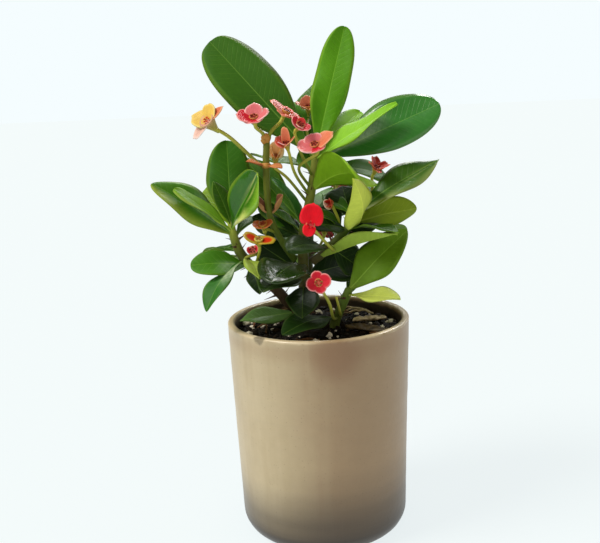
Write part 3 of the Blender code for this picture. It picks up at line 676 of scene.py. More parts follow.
@dataclass(frozen=True)
class LeafTone:
    """The colours of a leaf's two sides."""

    upper: Colour
    lower: Colour

    def sides(self, under: np.ndarray) -> np.ndarray:
        """The lower colour where a point is under the blade, and else the upper one."""
        return np.where(under[..., None], paint(self.lower), paint(self.upper))


class Shade(Enum):
    """The greens that the leaves come in, with SUNLIT a painted sunlit green and SHADED a painted shadow."""

    DEEP = LeafTone((54, 98, 14), (104, 136, 44))
    MID = LeafTone((62, 110, 16), (112, 148, 44))
    BRIGHT = LeafTone((84, 144, 12), (130, 172, 46))
    TEAL = LeafTone((52, 112, 40), (100, 146, 62))
    LIME = LeafTone((128, 184, 40), (146, 192, 56))
    PALE = LeafTone((168, 184, 60), (182, 196, 76))
    DARK = LeafTone((24, 50, 8), (56, 78, 26))
    FRESH = LeafTone((72, 140, 16), (110, 162, 40))
    SHADED = LeafTone((62, 64, 22), (88, 84, 34))
    CREAM = LeafTone((128, 150, 84), (150, 166, 92))
    PLAIN = LeafTone((54, 112, 14), (104, 140, 44))
    LEMON = LeafTone((124, 160, 20), (138, 182, 34))
    KHAKI = LeafTone((90, 106, 10), (112, 130, 24))
    SPRING = LeafTone((150, 172, 64), (158, 180, 70))
    STRIPED = LeafTone((42, 98, 12), (112, 150, 40))
    STRAW = LeafTone((172, 186, 84), (176, 190, 92))
    SEA = LeafTone((56, 124, 50), (96, 146, 76))
    SUNLIT = LeafTone((124, 176, 44), (142, 188, 56))
    GRASS = LeafTone((86, 122, 18), (112, 148, 44))
    GARDEN = LeafTone((74, 132, 26), (120, 160, 50))
    WET = LeafTone((44, 104, 34), (96, 138, 62))
    SAGE = LeafTone((108, 146, 80), (120, 150, 84))
    SCALE = LeafTone((132, 84, 62), (206, 152, 104))
    CORAL = LeafTone((206, 132, 84), (196, 110, 74))


@dataclass(frozen=True)
class BladeGrid:
    """Where a leaf's points lie, in rows along it and round its section.

    v runs across from -1 to 1 and u along from 0 to 1, half is the half width in millimetres, side is 1 on
    the upper side, -1 on the lower and 0 on the rim, and length is the blade's.
    """

    v: np.ndarray
    u: np.ndarray
    half: np.ndarray
    side: np.ndarray
    length: float

    VEIN_SPACING = 3.4
    VEIN_SLOPE = 0.8

    def x(self) -> np.ndarray:
        """Places across, in millimetres."""
        return self.v * self.half

    def vein_phase(self) -> np.ndarray:
        """Counts the side veins, which run outwards and forwards from the midrib."""
        return (self.u * self.length - np.abs(self.x()) * self.VEIN_SLOPE) / self.VEIN_SPACING


@dataclass(frozen=True)
class Leaf:
    """A blade that leaves its stem at a height, ends at its tip and turns its upper side to a direction.

    rise and droop are shares of its length, fold is in degrees, belly is where along it the blade is widest,
    and a small blunt makes a round tip. edge is a second shade, from edge_start outwards on one side.
    """

    height: float
    tip: Place
    face: Place
    width: float
    rise: float
    droop: float
    fold: float
    shade: Shade
    belly: float = 0.62
    blunt: float = 0.80
    wave: float = 0.0
    edge: Optional[Shade] = None
    edge_side: float = 1.0
    edge_start: float = 0.15
    gloss: float = 0.25
    # How strong the pale lines are: partly variegation, partly painted reflection
    stripes_and_glints: float = 0.0
    # How strong the painted sheen near the foot is, and on which side it lies
    painted_sheen: float = 0.0
    painted_sheen_side: float = -1.0

    ROW_STEP = 1.15
    ROWS = (16, 62)
    HALF_COLUMNS = 8
    FOOT_TAPER = 0.95
    PETIOLE_HALF_WIDTH = 1.1
    TIP_HALF_WIDTH = 0.35
    HALF_THICKNESS = 0.30
    PETIOLE_SWELL = 0.75
    KEEL = 0.55
    GROOVE = 0.22
    QUILTING = 0.045
    RIM_ROLL = 0.05
    EDGE_REACH = 0.8
    STRIPE_AND_GLINT_COLOUR = (196, 206, 120)
    PAINTED_SHEEN_COLOUR = (196, 214, 196)
    FOOT_COLOUR = (140, 160, 70)

    def half_widths(self, shares: np.ndarray, draw: random.Random) -> np.ndarray:
        """Half of the blade's width at shares of its length: a narrow foot, a full belly, a rounded tip."""
        bulge = np.sin(math.pi * shares ** (math.log(0.5) / math.log(self.belly)))
        power = np.where(shares > self.belly, self.blunt, self.FOOT_TAPER)
        uneven = 1 + 0.018 * np.sin(shares * draw.uniform(11, 17) + draw.uniform(0, 6))
        edge = 0.5 * self.width * np.maximum(bulge, 0.0) ** power * uneven
        floor = self.PETIOLE_HALF_WIDTH + (self.TIP_HALF_WIDTH - self.PETIOLE_HALF_WIDTH) * shares
        return np.maximum(edge, floor)

    def add_to(self, draft: MeshDraft, foot: np.ndarray, seed: str) -> None:
        """Adds the blade to a draft, with its upper side in slot 0 and its lower side in slot 1.

        Args:
            draft: The mesh that gathers the leaves.
            foot: Where the leaf leaves the middle of its stem.
            seed: A name that settles the leaf's own chances.
        """
        draw = random.Random(seed)
        tip = np.array(self.tip, float)
        chord = tip - foot
        length = float(np.linalg.norm(chord))
        ahead = chord / length
        up = np.array(self.face, float)
        up = unit(up - up.dot(ahead) * ahead)
        rows = int(min(max(length / self.ROW_STEP, self.ROWS[0]), self.ROWS[1]))
        share = np.sin(0.5 * math.pi * np.linspace(0, 1, rows + 1))
        u = share[:, None]
        a = foot + chord / 3 + up * self.rise * length
        b = foot + chord * 2 / 3 + up * self.droop * length
        rib = foot * (1 - u) ** 3 + a * 3 * u * (1 - u) ** 2 + b * 3 * u**2 * (1 - u) + tip * u**3
        tangent = unit((a - foot) * (1 - u) ** 2 + (b - a) * 2 * u * (1 - u) + (tip - b) * u**2)
        side = unit(np.cross(tangent, up))
        normal = np.cross(side, tangent)

        half = self.half_widths(share, draw)[:, None]
        even, top, slots = blade_ring(self.HALF_COLUMNS)
        v = even * (0.32 + 0.68 * np.abs(even))
        grid = BladeGrid(*np.broadcast_arrays(v, u, half, top), length)
        rings = (
            rib[:, None, :]
            + side[:, None, :] * (grid.x() * math.cos(math.radians(self.fold)))[..., None]
            + normal[:, None, :] * self.lift(grid, draw)[..., None]
        )
        draft.add_rings(rings, slots, self.values(grid, draw))

    def lift(self, grid: BladeGrid, draw: random.Random) -> np.ndarray:
        """How far each point stands off the flat blade: its fold, waves, rolled rim, veins, keel and body.

        Args:
            grid: Where the points lie.
            draw: The leaf's own chances.

        Returns:
            The height of each point, in millimetres.
        """
        v, u, x = grid.v, grid.u, grid.x()
        folded = (np.sqrt(x**2 + 0.5) - math.sqrt(0.5)) * math.sin(math.radians(self.fold))
        ripple = self.wave * v * np.abs(v) * np.sin(4 * math.pi * u)
        lively = min(0.030 * grid.length, 1.5)
        waves = lively * v**2 * np.sin(u * draw.uniform(7, 11) + draw.uniform(0, 6) + 0.9 * v)
        sway = 0.35 * lively * np.sin(u * draw.uniform(4, 6) + draw.uniform(0, 6)) * np.sin(math.pi * u)
        rolled = -self.RIM_ROLL * grid.half * soft_step(0.80, 1.0, np.abs(v))
        quilt = self.QUILTING * np.cos(2 * math.pi * grid.vein_phase()) * (1 - v**2)
        quilt = quilt * soft_step(1, 3, np.abs(x))
        grown = soft_step(0.0, 0.12, u)
        rounded = np.sqrt(np.maximum(1 - v**2, 0))
        body = self.HALF_THICKNESS * (0.45 + 0.55 * rounded) + self.PETIOLE_SWELL * (1 - grown) * rounded
        keel = self.KEEL * np.exp(-((x / 0.8) ** 2)) * (1 - u) ** 0.6 * grown
        groove = self.GROOVE * np.exp(-((x / 0.6) ** 2)) * (1 - u) ** 0.5 * grown
        sheet = folded + ripple + (waves + sway + rolled + quilt) * soft_step(0.1, 0.4, u)
        return sheet + np.where(grid.side > 0, body - groove, np.where(grid.side < 0, -body - keel, 0.0))

    def values(self, grid: BladeGrid, draw: random.Random) -> dict[Skin, np.ndarray]:
        """The blade's own values for its materials.

        Args:
            grid: Where the points lie.
            draw: The leaf's own chances.

        Returns:
            The tint, the place and the share of each point.
        """
        v, u = grid.v, grid.u
        veins = grid.vein_phase()
        lightness = draw.uniform(0.90, 1.12)
        warmth = draw.uniform(0.94, 1.08)
        under = grid.side <= 0
        tint = self.shade.value.sides(under)
        if self.edge is not None:
            outward = v * self.edge_side + 0.12 * np.sin(u * 9)
            reach = soft_step(self.edge_start, self.edge_start + self.EDGE_REACH, outward)[..., None]
            tint = tint * (1 - reach) + self.edge.value.sides(under) * reach
        # Pale lines along the blade and a pale patch: partly the leaf's own variegation, partly painted
        # reflection streaks
        if self.stripes_and_glints:
            lines = soft_step(0.55, 1.0, np.sin(v * 19 + 1.8 * np.sin(u * 3.1) + 2.5 * u))
            lines = 0.85 * lines * soft_step(0.35, 0.6, u) * (0.6 + 0.4 * np.sin(u * 9 + v * 4))
            lines = lines * soft_step(1.0, 0.85, np.abs(v))
            patch = soft_step(0.15, 0.6, v + 0.15 * np.sin(u * 14)) * soft_step(0.10, 0.2, u)
            patch = patch * soft_step(0.55, 0.35, u)
            tint = laid_over(tint, self.STRIPE_AND_GLINT_COLOUR, self.stripes_and_glints * np.maximum(lines, patch))
        # Painted sheen: a pale streaky film near the foot, on one side, laid into the colour to stand for a
        # gloss reflection
        if self.painted_sheen:
            ridged = 0.72 + 0.20 * np.cos(2 * math.pi * veins) + 0.15 * np.sin(v * 7 + u * 19)
            painted_sheen_film = soft_step(0.06, 0.20, u) * soft_step(0.70, 0.30, u) * np.clip(ridged, 0, 1)
            painted_sheen_film = painted_sheen_film * soft_step(-0.35, 0.15, v * self.painted_sheen_side) * soft_step(1.0, 0.8, np.abs(v))
            tint = laid_over(tint, self.PAINTED_SHEEN_COLOUR, self.painted_sheen * painted_sheen_film)
        tint = laid_over(tint, self.FOOT_COLOUR, 0.35 * soft_step(0.22, 0.0, u))
        tint = tint * lightness * np.array([warmth, 1.0, 1.0])
        place = np.stack([grid.x(), u * grid.length, veins], axis=-1)
        share = np.stack([v, u, np.full_like(v, self.gloss)], axis=-1)
        return {Skin.TINT: tint, Skin.PLACE: place, Skin.SHARE: share}


@dataclass(frozen=True)
class BloomTone:
    """The colours of a bract: its middle, its rim and its back."""

    heart: Colour
    rim: Colour
    back: Colour


class Petal(Enum):
    """The reds and yellows that the bracts come in."""

    CRIMSON = BloomTone((232, 10, 32), (238, 40, 56), (214, 80, 84))
    RED = BloomTone((218, 50, 52), (240, 132, 120), (222, 106, 88))
    PINK = BloomTone((212, 34, 54), (246, 176, 172), (226, 112, 104))
    SALMON = BloomTone((222, 88, 72), (240, 160, 130), (228, 130, 96))
    PEACH = BloomTone((226, 126, 90), (244, 184, 136), (230, 150, 104))
    YELLOW = BloomTone((236, 200, 96), (240, 226, 146), (226, 208, 112))
    ORANGE = BloomTone((212, 50, 14), (182, 172, 52), (182, 120, 46))
    DARK = BloomTone((172, 36, 18), (226, 118, 84), (214, 98, 60))
    DRIED = BloomTone((252, 204, 136), (255, 236, 190), (252, 206, 140))
    GLOWING = BloomTone((250, 140, 116), (252, 178, 150), (248, 146, 118))
    RUSTY = BloomTone((190, 92, 40), (210, 140, 80), (190, 100, 50))
    BLUSH = BloomTone((228, 118, 124), (250, 212, 208), (236, 156, 146))
    SHELL = BloomTone((236, 196, 184), (248, 226, 218), (220, 160, 150))


@dataclass(frozen=True)
class Lobe:
    """One bract: its turn from the bloom's first way, its share of the bloom's size, its lift in degrees, its
    breadth as a share of its length, and its colours.
    """

    turn: float
    size: float
    lift: float
    breadth: float
    petal: Petal


def pair(lift: float, petal: Petal) -> tuple[Lobe, ...]:
    """Two like bracts that face each other."""
    return tuple(Lobe(turn, 1.0, lift, 1.25, petal) for turn in (0, 180))


@dataclass(frozen=True)
class Bloom:
    """Bracts on a small cup: the middle of its face, the way that looks, and the way the first bract lies.

    cup_tone and glands colour the cup and what is in it, funnel widens it upwards and draws it down the
    stalk, sunk lowers it below the bracts, and rim_start is where on a bract its pale rim begins.
    """

    centre: Place
    looks: Place
    spread: Place
    size: float
    lobes: tuple[Lobe, ...]
    cup_tone: Petal = Petal.RED
    glands: Colour = (112, 26, 22)
    funnel: float = 1.2
    sunk: float = 0.0
    rim_start: float = 0.74

    CUP_HEIGHT = 4.0
    CUP_PROFILE = (
        (0.0, 0.75), (0.35, 1.0), (1.2, 1.22), (2.4, 1.62), (3.4, 1.92), (3.9, 2.0), (4.05, 1.7), (3.6, 1.1),
    )
    CUP_AROUND = 16
    CUP_FOOT_COLOUR = (172, 176, 64)
    GLANDS = 5
    GLAND_RADII = (0.62, 0.62, 0.42)
    ANTHERS = 4
    ANTHER_RADII = (0.24, 0.24, 0.18)
    ANTHER_COLOUR = (176, 70, 46)
    FILAMENT_COLOUR = (150, 44, 34)
    BRACT_ROOT = 1.6
    STALK_GAP = 0.3
    ROWS = 14
    HALF_COLUMNS = 9
    HALF_THICKNESS = 0.28
    KIDNEY = 0.3

    def axis(self) -> np.ndarray:
        """The way the bloom looks, at length one."""
        return unit(self.looks)

    def stalk_end(self) -> np.ndarray:
        """Where the stalk meets the cup."""
        return np.array(self.centre) - self.axis() * (self.CUP_HEIGHT + self.STALK_GAP)

    def bract(self, draft: MeshDraft, way: np.ndarray, lobe: Lobe, draw: random.Random) -> None:
        """Adds a bract: a kidney wider than long, its face in slot 0 and its back in slot 1.

        Args:
            draft: The bloom's mesh.
            way: The way the bract lies, square to the bloom's axis.
            lobe: Its size, lift, breadth and colours.
            draw: The bloom's own chances.
        """
        axis = self.axis()
        side = np.cross(axis, way)
        tone = lobe.petal.value
        size = self.size * lobe.size
        rise = math.radians(lobe.lift)
        x, top, slots = blade_ring(self.HALF_COLUMNS)
        x, y, top = np.broadcast_arrays(x, np.linspace(-1, 1, self.ROWS + 1)[:, None], top)
        across = x * np.sqrt(1 - y * y / 2)
        ahead = 0.5 * (1 + y * np.sqrt(1 - x * x / 2))
        radius = np.sqrt(across**2 + (2 * ahead - 1) ** 2)
        angle = np.arctan2(across, ahead + 0.15)
        ahead = ahead - self.KIDNEY * across**2 * (1 - ahead)
        point_out = 0.05 * np.exp(-((across / 0.10) ** 2)) * soft_step(0.7, 1.0, ahead)
        out = way * math.cos(rise) + axis * math.sin(rise)
        curl = size * 0.10 * (across**2 + ahead**2)
        flutter = 0.030 * size * radius**3 * np.sin(angle * draw.uniform(5, 8) + draw.uniform(0, 6))
        crease = -0.25 * np.exp(-((across / 0.09) ** 2)) * (1 - ahead)
        rolled = -0.05 * size * soft_step(0.86, 1.0, radius)
        body = self.HALF_THICKNESS * np.sqrt(np.maximum(1.04 - radius**2, 0.04))
        root = np.array(self.centre) - axis * self.BRACT_ROOT
        rings = (
            root
            + out * ((ahead + point_out) * size)[..., None]
            + side * (across * lobe.breadth * size / 2)[..., None]
            + axis * (curl + flutter + crease + rolled + top * body)[..., None]
        )
        rim_share = soft_step(self.rim_start, self.rim_start + 0.24, radius) * 0.85
        face = blended(tone.heart, tone.rim, rim_share)
        back = blended(tone.back, tone.rim, rim_share)
        throat = 0.6 * soft_step(0.26, 0.0, np.abs(ahead) + 0.5 * np.abs(across))
        tint = laid_over(np.where((top < 0)[..., None], back, face), self.glands, throat)
        place = np.stack([across, radius, angle], axis=-1)
        draft.add_rings(rings, slots, {Skin.TINT: tint, Skin.PLACE: place})

    def cup(self, draft: MeshDraft) -> None:
        """Adds the cup, its glands round a ring, and the anthers in its middle, in slots 2 and 3."""
        axis = self.axis()
        foot = np.array(self.centre) - axis * self.CUP_HEIGHT
        across = unit(np.cross(axis, [0.31, 0.22, 0.93]))
        other = np.cross(axis, across)

        def ways(first: float, count: int) -> np.ndarray:
            """Ways from the cup's middle outwards, evenly turned."""
            angles = first + np.linspace(0, 2 * math.pi, count, endpoint=False)
            return np.cos(angles)[:, None] * across + np.sin(angles)[:, None] * other

        rises, radii = np.array(self.CUP_PROFILE).T
        centres = foot + np.outer(self.widened(rises), axis)
        radii = radii * (1 + (self.funnel - 1) * rises / self.CUP_HEIGHT)
        rings = centres[:, None] + ways(0, self.CUP_AROUND)[None] * radii[:, None, None]
        share = np.linspace(0, 1, len(rises))[:, None] * np.ones(self.CUP_AROUND)
        tint = blended(self.CUP_FOOT_COLOUR, self.cup_tone.value.back, share**1.5)
        draft.add_rings(rings, 2, {Skin.TINT: tint})
        for way in ways(0, self.GLANDS):
            knob = foot + axis * (4.05 - self.sunk) + way * 1.45
            draft.add_rings(pebble(knob, self.GLAND_RADII, 5, 8), 3, {Skin.TINT: paint(self.glands)})
        for way in ways(1.1, self.ANTHERS):
            start = foot + axis * 3.6 + way * 0.35
            end = foot + axis * (4.7 - 0.6 * self.sunk) + way * 0.6
            filament = np.array([(*start, 0.14), (*((start + end) / 2), 0.13), (*end, 0.12)])
            draft.add_rings(tube_rings(filament, 6), 3, {Skin.TINT: paint(self.FILAMENT_COLOUR)})
            draft.add_rings(pebble(end, self.ANTHER_RADII, 4, 6), 3, {Skin.TINT: paint(self.ANTHER_COLOUR)})

    def widened(self, rise: np.ndarray) -> np.ndarray:
        """Heights on the cup, drawn down the stalk where the cup is a funnel, and sunk below the bracts."""
        return rise * (1 - self.sunk / self.CUP_HEIGHT) - (self.funnel - 1) * 5 * (1 - rise / self.CUP_HEIGHT)

    def build(self, name: str) -> None:
        """Builds and dresses the bloom in place of its solid."""
        axis = self.axis()
        draw = random.Random(name)
        way = np.array(self.spread, float)
        way = unit(way - way.dot(axis) * axis)
        draft = MeshDraft()
        for lobe in self.lobes:
            self.bract(draft, turned_about(way, axis, math.radians(lobe.turn)), lobe, draw)
        self.cup(draft)
        materials = [finish.material() for finish in (PETAL_FACE, PETAL_BACK, YOUNG_SKIN, GLAND)]
        settle(draft.build(name, materials), bloom_slot(name), name)


def bloom_slot(name: str) -> str:
    """The record's slot of a bloom, which its name tells."""
    if "salmon" in name or "orange" in name or "dried" in name:
        return "bract_salmon"
    return "bract_yellow" if "yellow" in name else "bract_red"


def pebble(
    centre: Point,
    radii: Point,
    rows: int,
    around: int,
    turn: float = 0.0,
    rough: float = 0.0,
    seed: float = 0.0,
) -> np.ndarray:
    """Rings of a small round body.

    Args:
        centre: Its middle.
        radii: Its half sizes along X, Y and Z.
        rows: How many rings it has.
        around: How many points each ring has.
        turn: A turn about Z, in radians.
        rough: How uneven it is, as a share of its size.
        seed: Which unevenness it has.

    Returns:
        Points as (rings, points in a ring, 3).
    """
    rings = []
    for i in range(rows):
        polar = math.pi * (i + 0.35) / (rows - 0.3)
        for k in range(around):
            angle = 2 * math.pi * k / around
            out = math.sin(polar)
            way = Vector((out * math.cos(angle), out * math.sin(angle), -math.cos(polar)))
            swell = 1 + rough * noise.noise(way * 1.7 + Vector((seed, seed * 1.3, -seed)))
            x, y, z = (w * r * swell for w, r in zip(way, radii))
            across = centre[0] + x * math.cos(turn) - y * math.sin(turn)
            back = centre[1] + x * math.sin(turn) + y * math.cos(turn)
            rings.append((across, back, centre[2] + z))
    return np.array(rings).reshape(rows, around, 3)


@dataclass(frozen=True)
class Stalk:
    """A flower stalk from a height on its stem, through its own points, to the foot of a bloom."""

    height: float
    way: tuple[Place, ...]
    bloom: str = ""
    radius: float = 0.8

    def route(self, stem: Sequence[Point]) -> np.ndarray:
        """The stalk's smooth line on its stem."""
        foot = stem_at(stem, self.height)[0]
        points = [(*foot, self.radius), *((*p, self.radius) for p in self.way)]
        if self.bloom:
            bloom = BLOOMS[self.bloom]
            end = bloom.stalk_end()
            points += [(*(end - bloom.axis() * 3), self.radius), (*end, self.radius * 1.1)]
        return smooth_route(points, FINE_STEP)


@dataclass(frozen=True)
class Spines:
    """Thorns round one stretch of a stem: which route, the lowest and highest place, how many, how long."""

    which: int
    low: float
    high: float
    count: int
    length: float

    FINE_SHARE = 2
    FINE_SEED = 50
    FINE_TURN = 1.2
    FINE_LENGTH = 0.55
    WIDTH = 0.85
    FINE_WIDTH = 0.6
    SHARES = (0.0, 0.22, 0.34, 0.5, 0.75, 0.93, 1.0)
    WIDTHS = (1.0, 0.95, 0.60, 0.42, 0.26, 0.12, 0.03)
    FOOT_COLOUR = (110, 84, 58)
    TIP_COLOUR = (70, 48, 36)

    def add_to(self, draft: MeshDraft, route: Sequence[Point], seed: int) -> None:
        """Adds the thorns, turned by the golden angle, with a second, finer set between them.

        Args:
            draft: The mesh of the stem, which takes them in slot 2.
            route: The stem's points.
            seed: What settles their chances.
        """
        for fine, draw in ((False, random.Random(seed)), (True, random.Random(seed + self.FINE_SEED))):
            count = self.count * self.FINE_SHARE if fine else self.count
            for i in range(count):
                point, ahead, radius = stem_at(route, self.low + (self.high - self.low) * (i + 0.5) / count)
                across = Vector(ahead).orthogonal().normalized()
                turn = i * GOLDEN_ANGLE + draw.uniform(-0.3, 0.3) + (self.FINE_TURN if fine else 0.0)
                across.rotate(Matrix.Rotation(turn, 3, Vector(ahead)))
                way = (across + Vector(ahead) * draw.uniform(0.0, 0.5)).normalized()
                size = self.length * draw.uniform(0.7, 1.1) * (self.FINE_LENGTH if fine else 1.0)
                root = point + np.array(across) * radius * 0.3
                self.thorn(draft, root, np.array(way), size + radius * 0.7, fine)

    def thorn(self, draft: MeshDraft, root: np.ndarray, way: np.ndarray, length: float, fine: bool) -> None:
        """Adds one thorn, broad at its foot and slightly bent up."""
        shares = np.array(self.SHARES)
        widths = np.array(self.WIDTHS) * (self.FINE_WIDTH if fine else self.WIDTH)
        bend = np.outer(shares**2, [0, 0, 0.08 * length])
        line = np.column_stack([root + np.outer(shares, way * length) + bend, widths])
        tint = blended(self.FOOT_COLOUR, self.TIP_COLOUR, shares)[:, None, :] * np.ones((1, 6, 1))
        draft.add_rings(tube_rings(line, 6), 2, {Skin.TINT: tint})


@dataclass(frozen=True)
class StemTone:
    """A stem's colours at its foot and its top, and how late the one turns into the other."""

    foot: Colour
    top: Colour
    rise: float = 1.0


@dataclass(frozen=True)
class Shoot:
    """A stem with its side branches, leaves, flower stalks and spines, which stand for one solid."""

    name: str
    route: tuple[Knot, ...]
    tone: StemTone
    leaves: tuple[Leaf, ...]
    stalks: tuple[Stalk, ...] = ()
    spines: tuple[Spines, ...] = ()
    branches: tuple[tuple[Knot, ...], ...] = ()
    knuckles: tuple[Knot, ...] = ()
    woody: bool = False
    slot: str = "leaf"

    BARK_RELIEF = 0.10
    YOUNG_RELIEF = 0.05
    STALK_FOOT_COLOUR = (96, 120, 34)
    STALK_TOP_COLOUR = (200, 198, 84)
    KNUCKLE_COLOUR = (196, 142, 72)

    def ripple(self, along: float, angle: float) -> float:
        """How far the stem's skin stands out: low ribs, with rings of old leaf scars."""
        depth = self.BARK_RELIEF if self.woody else self.YOUNG_RELIEF
        place = Vector((math.cos(angle) * 1.3, math.sin(angle) * 1.3, along * 0.35 + len(self.name)))
        bumps = noise.noise(place)
        scars = max(0.0, math.sin(along * 1.15 + 1.5 * math.sin(angle))) ** 6
        return 1 + depth * bumps + depth * 0.8 * scars

    def add_stem(self, draft: MeshDraft, route: Sequence[Point]) -> None:
        """Adds a stem or a branch, whose colour goes from its foot to its top."""
        line = closing(smooth_route(route, FINE_STEP))
        share = np.linspace(0, 1, len(line))[:, None] * np.ones(STEM_AROUND)
        tint = blended(self.tone.foot, self.tone.top, share**self.tone.rise)
        draft.add_rings(tube_rings(line, STEM_AROUND, self.ripple), 0, {Skin.TINT: tint})

    def build_wood(self) -> bpy.types.Object:
        """The stem, branches, stalks and thorns as one piece."""
        draft = MeshDraft()
        routes = (self.route, *self.branches)
        for route in routes:
            self.add_stem(draft, route)
        for stalk in self.stalks:
            line = stalk.route(self.route)
            if not stalk.bloom:
                line = closing(line)
            share = np.linspace(0, 1, len(line))[:, None] * np.ones(STALK_AROUND)
            tint = blended(self.STALK_FOOT_COLOUR, self.STALK_TOP_COLOUR, share)
            draft.add_rings(tube_rings(line, STALK_AROUND), 1, {Skin.TINT: tint})
        for i, (x, y, z, radius) in enumerate(self.knuckles):
            rings = pebble((x, y, z), (radius, radius, radius * 0.9), 8, 12, 0.4 * i, 0.35, float(i))
            draft.add_rings(rings, 1, {Skin.TINT: paint(self.KNUCKLE_COLOUR)})
        for i, spines in enumerate(self.spines):
            spines.add_to(draft, routes[spines.which], seed=len(self.name) + i)
        skin = BARK if self.woody else YOUNG_SKIN
        return draft.build(f"{self.name}_wood", [skin.material(), YOUNG_SKIN.material(), THORN.material()])

    def build_leaves(self) -> bpy.types.Object:
        """The leaves as one piece."""
        draft = MeshDraft()
        for i, leaf in enumerate(self.leaves):
            leaf.add_to(draft, stem_at(self.route, leaf.height)[0], f"{self.name}_leaf_{i}")
        return draft.build(f"{self.name}_leaves", [LEAF_TOP.material(), LEAF_BACK.material()])

    def build(self) -> None:
        """Builds and dresses the shoot in place of its solid."""
        settle(self.build_wood(), self.slot, self.name)
        settle(self.build_leaves(), "leaf", self.name)


